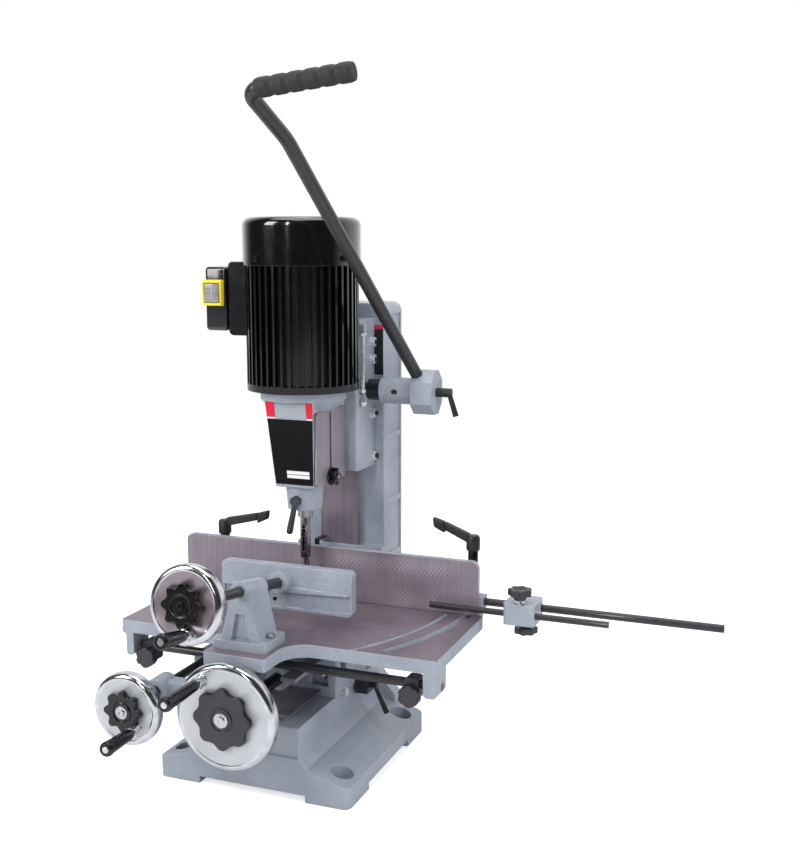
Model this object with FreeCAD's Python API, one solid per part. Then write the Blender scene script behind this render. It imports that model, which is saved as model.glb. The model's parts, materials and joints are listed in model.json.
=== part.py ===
import FreeCAD, Part
import os
from math import atan2, cos, degrees, pi, radians, sin, sqrt, tan

# Hollow chisel mortiser with a tilting column, a cross-slide table, a fence and a screw vise.
# Millimetres. Origin under the middle of the base, +Z up, -Y towards the user, +X to the right.

# Clearances
fit = 0.3
shaft_fit = 0.06
over = 40.0

# Base casting
base_half = 163.0
base_front = -160.0
base_back = 160.0
base_corner = 12.0
base_edge = 32.0
flank_top = 67.0
block_half = 80.0
block_front = -157.0
block_top = 114.0
base_wall = 11.0
foot_width = 72.0
foot_length = 80.0
foot_lift = 11.0
flank_wall = 14.0
bolt_x = 134.0
bolt_y = 122.0
bolt_hole_radius = 6.5
pocket_radius = 19.0
pocket_floor = 22.0
way_half_top = 58.0
way_half_root = 46.0
way_top = 125.5
way_front = -140.0
way_back = 142.0

# Pedestal that carries the column pivot
pivot_z = 275.0
pedestal_front = 146.0
pedestal_back = 171.7
pedestal_boss = 33.0
pedestal_foot_half = 115.0
pedestal_foot_z = 60.0
pedestal_knee_half = 70.0
pedestal_knee_z = 112.0
pedestal_neck_half = 44.0
pedestal_neck_z = 210.0
pivot_radius = 12.0
pivot_head = 19.0
bolt_head_height = 8.0
clamp_circle = 78.0
clamp_radius = 6.0
clamp_nut = 11.0
tilt_range = 45.0
pointer_left = -33.0
pointer_right = -25.0
pointer_thick = 3.0
pointer_low = 262.0
pointer_high = 325.0

# Column casting and its way
column_half = 79.5
column_front = 172.0
column_face = 185.0
column_back = 268.0
column_top = 730.0
column_foot = 312.0
column_corner = 16.0
fan_bottom = 176.0
fan_back = 202.0
column_wall = 14.0
column_pocket = 3.0
column_edge = 5.0
rib_levels = (288.0, 386.0, 500.0)
rib_thick = 10.0
slide_way_front = 174.0
slide_way_half = 35.0
slide_way_root = 28.0
rack_half = 9.0
rack_back = 188.0
rack_low = 498.0
rack_high = 632.0

# Head slide
slide_half = 62.0
slide_front = 114.0
slide_bottom = 455.0
slide_top = 706.0
slide_edge = 6.0
gib_thick = 4.0
gib_screw_radius = 3.5
gib_nut_radius = 6.5
gib_screw_reach = 9.0
gib_screw_levels = (666.0, 637.0, 545.0, 472.0)
gib_screw_y = 177.0

# Chisel housing, round the spindle axis
axis_y = 40.0
ring_radius = 69.0
ring_low = 585.0
ring_high = 600.0
housing_half_top = 42.0
housing_half_low = 34.0
housing_low = 444.0
housing_front_top = -15.0
housing_front_low = 4.0
housing_back = 107.0
housing_step_y = 78.0
housing_step_z = 456.0
side_plane = 38.0
neck_low = 405.0
neck_radius_top = 31.0
neck_radius_low = 28.0
chuck_room_half = 25.0
chuck_room_low = 458.0
chuck_room_high = 568.0
web_half = 34.0
window_front = 10.0
window_back = 84.0

# Motor
motor_radius = 89.5
motor_core = 79.0
motor_bore = 68.0
motor_low = 600.0
motor_rim_high = 611.0
motor_high = 796.0
fin_count = 44
fin_thick = 3.6
end_wall = 11.0
cover_radius = 93.5
cover_top = 870.0
cover_wall = 2.5
cover_round = 13.0
vent_count = 12
vent_width = 6.0
vent_inner = 22.0
vent_outer = 66.0
stator_inner = 42.0
stator_low = 650.0
stator_high = 752.0
rotor_radius = 41.4
rotor_shaft = 9.0
rotor_shaft_low = 545.0
rotor_shaft_high = 842.0
bearing_outer = 21.0
bearing_width = 11.0
fan_radius = 78.0
fan_low = 806.0
fan_high = 834.0
fan_hub = 16.0
fan_blades = 8
fan_blade_thick = 3.0

# Switch on the left of the motor
flange_left = -117.0
flange_low = 684.0
flange_high = 801.0
flange_round = 8.0
switch_left = -157.0
switch_low = 691.0
switch_high = 793.0
switch_front = 5.0
switch_back = 75.0
switch_round = 6.0
switch_wall = 3.0
bezel_left = -160.0
bezel_right = -121.0
bezel_low = 730.0
bezel_high = 773.0
bezel_depth = 7.0
bezel_rim = 5.0
paddle_travel = 2.5
paddle_height = 8.0

# Chuck, auger and hollow chisel
chuck_radius = 20.0
chuck_nose = 12.0
chuck_low = 472.0
chuck_high = 556.0
auger_radius = 4.6
auger_head = 6.1
auger_head_low = 305.0
auger_head_high = 318.0
auger_tip = 300.0
auger_top = 510.0
chisel_half = 6.35
chisel_bore = 4.9
chisel_low = 321.0
chisel_shoulder_low = 390.0
chisel_shoulder_radius = 12.0
chisel_shank_radius = 9.3
chisel_shank_top = 452.0
chip_window_low = 332.0
chip_window_high = 378.0
chip_window_half = 3.0
chisel_screw_z = 422.0
chisel_screw_radius = 4.0

# Chuck cover on the right of the housing
chuck_cover_outer = 42.0
chuck_cover_front = -2.0
chuck_cover_back = 106.0
chuck_cover_low = 449.0
chuck_cover_high = 567.0
cover_slot_y = 50.0
cover_slot_half = 3.3
cover_slot_low = 452.0
cover_slot_high = 560.0
cover_knob_radius = 14.0
cover_knob_stud = 3.0
cover_knob_z = 457.5
cover_knob_thick = 14.0

# Clamp lever of the chisel
chisel_hub_radius = 8.0
chisel_hub_front = 0.0
chisel_hub_back = 9.5
chisel_lever_length = 50.0
chisel_lever_lean = 11.0
chisel_lever_radius = 4.0
chisel_lever_tip = 5.5

# Depth stop
depth_x = 67.0
depth_y = 126.0
depth_radius = 3.0
depth_low = 563.0
depth_high = 700.0
depth_ear_low = 572.0
depth_ear_drop = 20.0
depth_ear_high = slide_top - depth_ear_drop
depth_ear = 12.0
depth_nut_radius = 4.5

# Feed pinion, hub and lever
hub_y = 143.0
hub_z = 590.0
feed_module = 2.5
feed_teeth = 28
feed_sweep = 82.0
feed_margin = 13.0
feed_shaft_radius = 10.0
feed_shaft_left = -58.0
feed_shaft_right = 142.0
collar_radius = 17.5
collar_left = 72.0
collar_right = 96.0
hub_radius = 22.0
hub_right = 153.0
hub_block_right = 190.0
hub_block_half_z = 36.0
hub_block_half_y = 27.0
hub_hole_radius = 4.0
lever_radius = 10.0
lever_foot = (162.0, 143.0, 606.0)
lever_knee = (100.0, -204.0, 966.0)
lever_bend = (86.0, -290.0, 1021.0)
lever_end = (226.0, -282.0, 1037.0)
lever_knee_round = 90.0
lever_bend_round = 18.0
grip_start_x = 101.0
grip_end_x = 233.0
grip_radius = 13.0
grip_waist = 11.5
grip_bore = 10.3
grip_humps = 6
handle_length = 38.0
handle_radius = 4.0
handle_hub = 7.5
handle_right = 215.0
handle_lean = 12.0

# Saddle on the base ways
saddle_half = 84.0
saddle_front = -30.0
saddle_back = 90.0
saddle_bottom = 114.5
saddle_top = 216.2
rail_y = 24.0
rail_half_top = 27.0
rail_half_low = 36.0
rail_low = 205.0
channel_front = -11.0
channel_back = 11.0
channel_low = 141.0
recess_half = 22.0
recess_depth = 14.0
recess_low = 132.0
recess_high = 196.0
nut_arm_front = -60.0
nut_arm_back = -30.0
nut_arm_low = 142.0
boss_front = -96.0
boss_radius = 19.0
stop_plate_left = 43.0
stop_plate_right = 68.0
stop_plate_low = 178.0
stop_plate_high = 184.0
stop_plate_front = -140.0
stop_plate_foot = 150.0
lock_right = 106.0
lock_front = 46.0
lock_back = 78.0
lock_low = 97.0
lock_high = 121.0
lock_hub_right = 118.0
lock_drop = 46.0
lock_lean = 22.0

# Table
table_left = -228.0
table_right = 297.0
table_front = -154.0
table_back = 68.0
table_top = 247.0
table_plate = 12.0
table_lip = 20.0
table_lip_wall = 9.0
table_corner = 4.0
platform_x = 17.0
platform_half = 50.0
platform_front = -236.0
platform_corner = 14.0
platform_sweep = 40.0
ear_back = 98.0
ear_half = 20.0
right_ear_edge = 287.0
rail_left = -188.0
rail_right = 250.0
left_lug = (-220.0, -207.0)
right_lug = (277.0, 297.0)
lug_back = -112.0
lug_low = 190.0
lug_round = 6.0
lug_flare = 7.0
groove_radius = 418.0
groove_half = 3.0
groove_depth = 2.0
groove_start = -35.5
groove_end = -5.0
table_rack_front = -7.0
table_rack_back = 7.0
table_rack_left = -122.0
table_rack_right = 182.0

# Cross travel of the table
cross_x = 14.8
cross_z = 162.0
cross_module = 1.6
cross_teeth = 20
cross_shaft_radius = 10.0
cross_shaft_back = 26.0

# Stop bar and its two stops
stop_bar_y = -127.0
stop_bar_z = 200.0
stop_bar_radius = 7.0
stop_left_x = -190.0
stop_right_x = 253.0
stop_half = 11.0
stop_front = -139.0
stop_back = -115.0
stop_low = 177.0
stop_high = 211.0
stop_split = 1.6
stop_screw_z = 187.0
stop_knob_radius = 16.4
star_radius = 19.0
star_thick = 12.0
star_lobes = 6
star_stud = 3.5

# In and out feed on the left
feed_x = -137.0
feed_z = 159.0
feed_screw_radius = 7.0
feed_screw_back = 20.0
feed_bearing_front = -205.0
feed_bearing_back = -168.0
feed_bearing_radius = 19.0
bracket_front = -200.0
bracket_back = -118.0
bracket_low = 74.0
bracket_thick = 13.0
bracket_screw_radius = 5.0

# Hand wheels
wheel_thick = 22.0
wheel_web = 7.0
wheel_rim = 12.0
wheel_round = 5.0
wheel_hub_share = 0.30
wheel_hub_back = 8.0
star_share = 0.58
star_lobe_share = 0.13
star_height = 9.0
wheel_lobes = 8
big_wheel_radius = 80.0
big_wheel_y = -252.0
big_grip_offset = (-33.5, 52.3)
big_grip_length = 88.0
small_wheel_radius = 55.0
small_wheel_y = -273.0
small_grip_offset = (20.0, -25.0)
small_grip_length = 66.0
vise_wheel_radius = 55.0
vise_grip_offset = (12.0, -36.0)
vise_grip_length = 60.0
grip_fat = 11.0
grip_thin = 8.0
grip_stud = 4.0
grip_gap = 12.0

# Fence
fence_left = -238.0
fence_right = 289.0
fence_front = 62.0
fence_thick = 10.0
fence_high = 335.0
fence_corner = 12.0
fence_foot_half = 17.0
fence_foot_back = 97.0
fence_foot_height = 18.0
fence_pivot_x = -177.0
fence_pivot_y = 86.0
fence_slot_radius = 450.0
fence_slot_end = -29.5
fence_stud_radius = 6.0
fence_post_radius = 8.0
fence_hub_radius = 11.0
fence_hub_height = 22.0
fence_nut_radius = 10.0
fence_nut_height = 8.0
left_lever_high = 359.0
right_lever_high = 372.0
lever_arm = 88.0
lever_rise = 27.0
lever_arm_root = 6.5
lever_arm_tip = 5.0
left_lever_turn = 3.0
right_lever_turn = 176.0

# Stop rods
rear_rod_y = 80.0
rear_rod_z = 267.0
rear_rod_radius = 6.0
rear_rod_right = 665.0
rear_rod_left = 250.0
rod_boss_left = 246.0
rod_boss_right = 296.0
rod_boss_half = 10.0
front_rod_y = 43.0
front_rod_z = 264.5
front_rod_radius = 5.0
front_rod_left = 216.5
front_rod_right = 501.0
clamp_left = 338.0
clamp_right = 388.0
clamp_low = 249.0
clamp_high = 282.0
clamp_front = 34.0
clamp_back = 91.0
rod_knob_high = 306.0
rod_knob_low = 224.0
rod_knob_x = 363.0

# Vise
vise_x = 16.4
vise_y = -188.8
vise_z = 330.7
vise_lean = 9.0
vise_screw_radius = 8.0
vise_screw_front = -176.0
vise_barrel_front = -24.0
vise_barrel_back = 37.0
vise_barrel_radius = 15.0
bracket_half = 43.0
vise_base_front = -218.0
vise_base_back = -151.0
vise_base_height = 14.0
vise_base_round = 6.0
vise_leg_half_low = 34.0
vise_leg_half_high = 15.0
vise_leg_recess = 5.0
pad_left = -88.0
pad_right = 135.0
pad_front = -80.0
pad_back = -64.0
pad_low = 269.0
pad_high = 339.5
pad_corner = 8.0
pad_panel_depth = 2.5
pad_panel_rim = 5.0
pad_band_low = 305.0
pad_rib_z = 303.0
pad_rib_reach = 4.0
pad_boss_radius = 17.0
pad_boss_reach = 14.0
pad_rib_half = 5.0
pad_rib_tip = 1.5
vise_wheel_place = -163.0


def point(x, y, z):
    return FreeCAD.Vector(x, y, z)


AXES = {"x": point(1, 0, 0), "y": point(0, 1, 0), "z": point(0, 0, 1)}


def box(x0, x1, y0, y1, z0, z1):
    return Part.makeBox(x1 - x0, y1 - y0, z1 - z0, point(x0, y0, z0))


def rod(radius, start, end):
    way = end - start
    return Part.makeCylinder(radius, way.Length, start, way)


def cone(radius_start, radius_end, start, end):
    way = end - start
    return Part.makeCone(radius_start, radius_end, way.Length, start, way)


def rod_x(radius, x0, x1, y, z):
    return rod(radius, point(x0, y, z), point(x1, y, z))


def rod_y(radius, y0, y1, x, z):
    return rod(radius, point(x, y0, z), point(x, y1, z))


def rod_z(radius, z0, z1, x, y):
    return rod(radius, point(x, y, z0), point(x, y, z1))


def prism(outline, axis, low, high):
    """Extrude an outline: (y, z) pairs along x, (x, z) pairs along y, (x, y) pairs along z."""
    place = {"x": lambda a, b: point(low, a, b), "y": lambda a, b: point(a, low, b),
             "z": lambda a, b: point(a, b, low)}[axis]
    corners = [place(a, b) for a, b in outline]
    face = Part.Face(Part.makePolygon(corners + corners[:1]))
    return face.extrude(AXES[axis] * (high - low))


def spun(profile, centre, way):
    """Turn an outline of (radius, height) pairs about the axis at centre that points along way."""
    corners = [point(radius, 0, height) for radius, height in profile]
    face = Part.Face(Part.makePolygon(corners + corners[:1]))
    solid = face.revolve(point(0, 0, 0), AXES["z"], 360)
    solid.Placement = FreeCAD.Placement(centre, FreeCAD.Rotation(AXES["z"], way))
    return solid


def join(*pieces):
    return pieces[0].fuse(list(pieces[1:])).removeSplitter()


def cut(piece, *tools):
    return piece.cut(list(tools))


def turned(piece, angle, centre, axis):
    copy = piece.copy()
    copy.rotate(centre, AXES[axis] if isinstance(axis, str) else axis, angle)
    return copy


def mirrored_x(outline):
    return outline + [(-a, b) for a, b in reversed(outline)]


def rounded(piece, radius, axis, keep=lambda edge: True):
    """Fillet the straight edges that run along an axis."""
    edges = []
    for edge in piece.Edges:
        if edge.Curve.TypeId != "Part::GeomLine" or not keep(edge):
            continue
        way = edge.lastVertex().Point - edge.firstVertex().Point
        if abs(way.normalize().dot(AXES[axis])) > 0.999:
            edges.append(edge)
    return piece.makeFillet(radius, edges)


def save(name, *solids):
    whole = solids[0] if len(solids) == 1 else Part.makeCompound(list(solids))
    whole.exportStep("parts/" + name + ".step")


def gear(module, teeth, low, high, centre, backlash):
    """Involute gear along z with a tooth on the x axis."""
    pitch = module * teeth / 2
    base = pitch * cos(radians(20))
    tip = pitch + module
    root = pitch - module * 1.2
    half_at_pitch = pi / 2 / teeth - backlash / 2 / pitch
    inv = lambda angle: tan(angle) - angle
    steps = 6
    flank = []
    for step in range(steps + 1):
        radius = max(base, root) + (tip - max(base, root)) * step / steps
        spread = half_at_pitch + inv(radians(20)) - inv(atan2(sqrt(radius ** 2 - base ** 2), base))
        flank.append((radius, spread))
    corners = []
    for tooth in range(teeth):
        middle = 2 * pi * tooth / teeth
        side = [(root, flank[0][1])] + flank
        for radius, spread in side:
            corners.append((radius * cos(middle - spread), radius * sin(middle - spread)))
        for radius, spread in reversed(side):
            corners.append((radius * cos(middle + spread), radius * sin(middle + spread)))
    face = Part.Face(Part.makePolygon([centre + point(a, b, low) for a, b in corners + corners[:1]]))
    return face.extrude(AXES["z"] * (high - low))


def rack_outline(module, count, backlash, depth):
    """Teeth of a rack along the first axis, with a gap at zero, tips at +module and its back at -depth."""
    pitch = pi * module
    half = pitch / 4 - backlash / 2
    lean = tan(radians(20))
    corners = [(-pitch * count / 2, -depth)]
    for tooth in range(count):
        middle = pitch * (tooth - count / 2 + 1 / 2)
        corners += [(middle - half - module * 1.2 * lean, -module * 1.2), (middle - half + module * lean, module),
                    (middle + half - module * lean, module), (middle + half + module * 1.2 * lean, -module * 1.2)]
    return corners + [(pitch * count / 2, -depth)]


def dovetail(middle, half_root, half_tip, root, tip, grow_low=0, grow_high=0, grow_tip=0):
    """Trapezoid outline whose wide end is at tip, with each flank and the wide end grown."""
    rise = (half_tip - half_root) / (tip - root)
    past = root - (tip - root) * 2 / 20
    wide = tip + grow_tip
    low = lambda level: middle - half_root - rise * (level - root) - grow_low
    high = lambda level: middle + half_root + rise * (level - root) + grow_high
    return [(low(past), past), (low(wide), wide), (high(wide), wide), (high(past), past)]


def base_casting():
    flank = [(base_half, 0), (base_half, base_edge), (block_half + flank_wall, flank_top - flank_wall),
             (block_half, flank_top)]
    body = prism(mirrored_x(flank), "y", base_front, base_back)
    body = rounded(body, base_corner, "z")
    block = box(-block_half, block_half, block_front, pedestal_front, 0, block_top)
    shoulder = [(pedestal_foot_half, 0), (pedestal_foot_half, pedestal_foot_z),
                (pedestal_knee_half, pedestal_knee_z), (pedestal_neck_half, pedestal_neck_z),
                (pedestal_boss, pivot_z)]
    pedestal = prism(mirrored_x(shoulder), "y", pedestal_front, pedestal_back)
    boss = rod_y(pedestal_boss, pedestal_front, pedestal_back, 0, pivot_z)
    way = prism(dovetail(0, way_half_root, way_half_top, block_top, way_top), "y", way_front, way_back)
    body = join(body, block, pedestal, boss, way)
    room_half = block_half - base_wall
    room = prism(mirrored_x([(room_half + flank_wall, -over), (room_half + flank_wall, base_edge),
                             (room_half, flank_top), (room_half, block_top - base_wall)]), "y",
                 block_front + base_wall, pedestal_front - base_wall)
    inner = base_half - foot_width
    gap = base_half - foot_length
    tools = [room,
             box(-inner, inner, -over + base_front, over + base_back, -over, foot_lift),
             box(-over - base_half, over + base_half, -gap, gap, -over, foot_lift)]
    flank_room = [(inner, -over), (base_half - flank_wall, -over), (base_half - flank_wall, base_edge - flank_wall),
                  (inner, base_edge)]
    for side in (-1, 1):
        tools.append(prism([(side * a, b) for a, b in flank_room], "y", -gap + flank_wall, gap - flank_wall))
        for end in (-1, 1):
            x, y = side * bolt_x, end * bolt_y
            tools.append(rod_z(bolt_hole_radius, -over, over + base_edge, x, y))
            tools.append(rod_z(pocket_radius, pocket_floor, block_top, x, y))
    tools.append(rod_y(pivot_radius + shaft_fit, -over, over + pedestal_back, 0, pivot_z))
    tools.append(rod_y(clamp_radius + shaft_fit, pedestal_front - over, over + pedestal_back, 0,
                       pivot_z - clamp_circle))
    save("base_casting", cut(body, *tools))


def feed_bracket():
    outer = -block_half - bracket_thick
    foot = box(outer, -block_half, block_front, bracket_back, bracket_low, block_top)
    web = prism([(bracket_back, bracket_low), (bracket_back, block_top), (feed_bearing_front + bracket_thick,
                 feed_z + bracket_thick), (feed_bearing_front + bracket_thick, feed_z - bracket_thick),
                 (block_front, bracket_low)], "x", outer - bracket_thick, outer)
    arm = box(feed_x, outer, feed_bearing_front + bracket_thick, feed_bearing_back,
              feed_z - bracket_thick, feed_z + bracket_thick)
    boss = rod_y(feed_bearing_radius, feed_bearing_front, feed_bearing_back, feed_x, feed_z)
    bore = rod_y(feed_screw_radius + shaft_fit, feed_bearing_front - over, feed_bearing_back + over, feed_x, feed_z)
    save("feed_bracket", cut(join(foot, web, arm, boss), bore))


def tilt_bolts():
    front = pedestal_front
    back = column_back - column_edge * 2
    seat = fan_back
    pivot = join(rod_y(pivot_head, front - bolt_head_height, front, 0, pivot_z),
                 rod_y(pivot_radius, front - bolt_head_height, seat + bolt_head_height * 2, 0, pivot_z))
    nut_ring = cut(rod_y(pivot_head, seat + fit, seat + bolt_head_height * 2, 0, pivot_z),
                   rod_y(pivot_radius, front, back, 0, pivot_z))
    z = pivot_z - clamp_circle
    stud = join(rod_y(clamp_nut, front - bolt_head_height, front, 0, z),
                rod_y(clamp_radius, front - bolt_head_height, seat + bolt_head_height * 2, 0, z))
    nut = cut(rod_y(clamp_nut, seat + fit, seat + bolt_head_height + clamp_radius, 0, z),
              rod_y(clamp_radius, front, back, 0, z))
    pointer = join(box(pointer_left, pointer_right, front - pointer_thick, front, pointer_low, pointer_high),
                   box(pointer_left, pointer_right, front - pointer_thick, pedestal_back,
                       pointer_high - pointer_thick, pointer_high))
    save("tilt_bolts", pivot, nut_ring, stud, nut, pointer)


def column_casting():
    outer = box(-column_half, column_half, column_face, column_back, column_foot, column_top)
    outer = rounded(outer, column_corner, "y", lambda edge: edge.CenterOfMass.z > column_top - fit)
    fan = box(-column_half, column_half, column_front, fan_back, fan_bottom, column_foot)
    cheek_low = fan_bottom + column_corner * 4
    sides = [box(side, side + column_wall, fan_back, column_back, cheek_low, column_foot)
             for side in (-column_half, column_half - column_wall)]
    body = join(outer, fan, *sides)
    levels = [cheek_low] + list(rib_levels) + [column_top - column_wall]
    tools = []
    for low, high in zip(levels, levels[1:]):
        bottom = low + rib_thick / 2
        top = high - rib_thick / 2
        inner = column_half - column_pocket - rib_thick
        tools.append(box(-inner, inner, fan_back, column_back + over, bottom, top))
        for side in (-1, 1):
            near, far = sorted((side * (column_half - column_pocket), side * (column_half + over)))
            tools.append(box(near, far, fan_back, column_back - column_edge, bottom, top))
    tools.append(box(-rack_half - fit, rack_half + fit, column_face - over, rack_back, rack_low - fit,
                     rack_high + fit))
    tools.append(rod_y(pivot_radius + shaft_fit, column_front - over, fan_back + over, 0, pivot_z))
    tools.append(rod_y(pivot_head + fit, fan_back, column_back + over, 0, pivot_z))
    inside, outside = clamp_circle - clamp_radius - fit, clamp_circle + clamp_radius + fit
    ring = cut(rod_y(outside, column_front - over, fan_back + over, 0, pivot_z),
               rod_y(inside, column_front - over, fan_back + over, 0, pivot_z))
    reach = radians(tilt_range + degrees((clamp_radius + fit) / clamp_circle))
    far = over * 6
    wedge = prism([(0, pivot_z), (-far * sin(reach), pivot_z - far * cos(reach)),
                   (far * sin(reach), pivot_z - far * cos(reach))], "y", column_front - over, fan_back + over)
    tools.append(ring.common(wedge))
    save("column_casting", cut(body, *tools))


def column_way():
    outline = dovetail(0, slide_way_root, slide_way_half, 0, column_face - slide_way_front)
    outline = [(across, column_face - depth) for across, depth in outline if depth > 0]
    outline += [(slide_way_root, column_face), (-slide_way_root, column_face)]
    way = prism(outline, "z", column_foot, column_top - column_corner)
    slot = box(-rack_half - fit, rack_half + fit, slide_way_front - over, column_face + over,
               rack_low - fit, rack_high + fit)
    save("column_way", cut(way, slot))


def feed_rack():
    pitch_y = hub_y + feed_module * feed_teeth / 2
    step = pi * feed_module
    count = 2 * int((hub_z - rack_low) / step)
    outline = rack_outline(feed_module, count, fit, rack_back - pitch_y)
    outline = [(pitch_y - depth, hub_z + along) for along, depth in outline]
    rack = prism(outline, "x", -rack_half, rack_half)
    window = box(-over, over, 0, over * 10, rack_low, rack_high)
    save("feed_rack", rack.common(window))


def housing_shape():
    """Tapered chisel housing that leans back towards its foot, as a ruled loft."""
    wires = []
    for level, half, front in ((housing_low, housing_half_low, housing_front_low),
                               (ring_low, housing_half_top, housing_front_top)):
        corners = [point(-half, front, level), point(half, front, level),
                   point(half, housing_back, level), point(-half, housing_back, level)]
        wires.append(Part.makePolygon(corners + corners[:1]))
    return Part.makeLoft(wires, True, True)


def head_casting():
    slide = box(-slide_half, slide_half, slide_front, column_face - fit, slide_bottom, slide_top)
    slide = rounded(slide, slide_edge, "z", lambda edge: edge.CenterOfMass.y < column_front)
    web = box(-web_half, web_half, axis_y, slide_front + slide_edge, housing_step_z, ring_high)
    upper = cone(housing_half_top, ring_radius, point(0, axis_y, ring_low - (ring_radius - housing_half_top)),
                 point(0, axis_y, ring_low))
    front_room = prism([(housing_front_low, housing_low), (housing_front_top, ring_low),
                        (housing_front_top - over * 2, ring_low), (housing_front_low - over * 2, housing_low)], "x",
                       -over * 2, over * 2)
    upper = cut(upper, front_room)
    ring = rod_z(ring_radius, ring_low, ring_high, 0, axis_y)
    neck = cone(neck_radius_low, neck_radius_top, point(0, axis_y, neck_low), point(0, axis_y, housing_low))
    ears = [box(slide_half - slide_edge, depth_x + depth_nut_radius, depth_y - depth_ear / 2, depth_y + depth_ear / 2,
                level, level + depth_ear) for level in (depth_ear_low, depth_ear_high)]
    body = join(slide, housing_shape(), web, upper, ring, neck, *ears)
    slot = dovetail(0, slide_way_root, slide_way_half, 0, column_face - slide_way_front, fit, fit + gib_thick, fit)
    slot = [(a, column_face - b) for a, b in slot]
    pitch = feed_module * feed_teeth / 2
    gear_room = rod_x(pitch + feed_module + fit * 3, -rack_half - fit * 2, rack_half + fit * 2, hub_y, hub_z)
    gear_room = gear_room.common(box(-over, over, hub_y - feed_shaft_radius + fit * 2, column_back,
                                     slide_bottom, slide_top))
    flat = box(side_plane, side_plane + over, housing_front_top - over, housing_back, housing_low - over,
               chuck_cover_high + fit)
    tools = [prism(slot, "z", slide_bottom - over, slide_top + over),
             box(-over * 2, over * 2, housing_step_y, slide_front, neck_low, housing_step_z),
             rod_z(motor_radius + fit * 5, ring_high, slide_top + over, 0, axis_y),
             gear_room,
             rod_x(feed_shaft_radius + shaft_fit, -slide_half - over, slide_half + over, hub_y, hub_z),
             flat,
             box(-chuck_room_half, chuck_room_half, axis_y - chuck_room_half, axis_y + chuck_room_half,
                 chuck_room_low, chuck_room_high),
             box(0, side_plane + over, window_front, window_back - window_front, chuck_room_low, chuck_room_high),
             rod_z(bearing_outer, chuck_room_high - fit, ring_high + over, 0, axis_y),
             rod_z(chisel_shank_radius + shaft_fit, neck_low - over, chisel_shank_top, 0, axis_y),
             rod_z(auger_head, neck_low, chuck_room_low + over, 0, axis_y),
             rod_y(chisel_screw_radius + shaft_fit, -over, axis_y, 0, chisel_screw_z),
             rod_x(cover_knob_stud + shaft_fit, 0, side_plane + over, cover_slot_y, cover_knob_z)]
    for level in gib_screw_levels:
        tools.append(rod_x(gib_screw_radius, slide_way_root, slide_half + over, gib_screw_y, level))
    for level in (depth_ear_low, depth_ear_high):
        tools.append(rod_z(depth_radius + shaft_fit, level - over / 8, level + depth_ear * 2, depth_x, depth_y))
    save("head_casting", cut(body, *tools))


def head_gib():
    depth = column_face - slide_way_front
    rise = (slide_way_half - slide_way_root) / depth
    low = fit / 2
    inner = lambda level: slide_way_root + rise * level + fit
    outline = [(inner(low), column_face - low), (inner(depth), column_face - depth),
               (inner(depth) + gib_thick, column_face - depth), (inner(low) + gib_thick, column_face - low)]
    save("head_gib", prism(outline, "z", slide_bottom, slide_top))


def head_screws():
    """Gib screws with lock nuts, each ending against the gib."""
    depth = column_face - gib_screw_y
    rise = (slide_way_half - slide_way_root) / (column_face - slide_way_front)
    start = slide_way_root + rise * depth + fit + gib_thick + rise * gib_screw_radius
    screws = []
    for level in gib_screw_levels:
        screw = rod_x(gib_screw_radius, start, slide_half + gib_screw_reach, gib_screw_y, level)
        nut = rod_x(gib_nut_radius, slide_half, slide_half + gib_screw_reach * 2 / 3, gib_screw_y, level)
        screws.append(join(screw, nut))
    save("head_screws", *screws)


def depth_stop():
    stem = rod_z(depth_radius, depth_low, depth_high, depth_x, depth_y)
    nut = rod_z(depth_nut_radius, depth_low, depth_low + depth_nut_radius, depth_x, depth_y)
    save("depth_stop_rod", join(stem, nut))


def motor_shell():
    core = rod_z(motor_core, motor_low, motor_high, 0, axis_y)
    rim = rod_z(motor_radius, motor_low, motor_rim_high, 0, axis_y)
    fin = box(motor_core - fin_thick, motor_radius, -fin_thick / 2, fin_thick / 2, motor_rim_high, motor_high)
    fin.translate(point(0, axis_y, 0))
    fins = [turned(fin, 360 * (step + 1 / 2) / fin_count, point(0, axis_y, 0), "z") for step in range(fin_count)]
    pad = box(flange_left, 0, switch_front + switch_round, switch_back - switch_round, flange_low,
              flange_high)
    pad = rounded(pad, flange_round, "y", lambda edge: edge.CenterOfMass.x < flange_left + fit)
    room = rod_z(motor_bore, motor_low + end_wall, motor_high - end_wall, 0, axis_y)
    bores = [rod_z(rotor_shaft * 2, motor_low - over, motor_high + over, 0, axis_y),
             rod_z(bearing_outer, motor_low - over, motor_low + end_wall + over, 0, axis_y),
             rod_z(bearing_outer, motor_high - end_wall - over, motor_high + over, 0, axis_y)]
    bores.append(rod_z(cover_radius + fit, motor_high, motor_high + over, 0, axis_y))
    save("motor_shell", cut(core.fuse([rim, pad] + fins), room, *bores))


def fan_cover():
    outer = rod_z(cover_radius, motor_high, cover_top, 0, axis_y)
    outer = outer.makeFillet(cover_round, [edge for edge in outer.Edges if edge.CenterOfMass.z > cover_top - fit
                                           and edge.Curve.TypeId == "Part::GeomCircle"])
    room = rod_z(cover_radius - cover_wall, motor_high - over, cover_top - cover_wall, 0, axis_y)
    room = room.makeFillet(cover_round - cover_wall,
                           [edge for edge in room.Edges if edge.CenterOfMass.z > motor_high
                            and edge.Curve.TypeId == "Part::GeomCircle"])
    collar = cut(rod_z(cover_radius, motor_high, motor_high + cover_wall * 2, 0, axis_y),
                 rod_z(motor_core, motor_high - over, motor_high + over, 0, axis_y))
    vent = box(vent_inner, vent_outer, axis_y - vent_width / 2, axis_y + vent_width / 2,
               cover_top - over, cover_top + over)
    vents = [turned(vent, 360 * step / vent_count, point(0, axis_y, 0), "z") for step in range(vent_count)]
    save("fan_cover", cut(join(cut(outer, room), collar), *vents))


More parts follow.
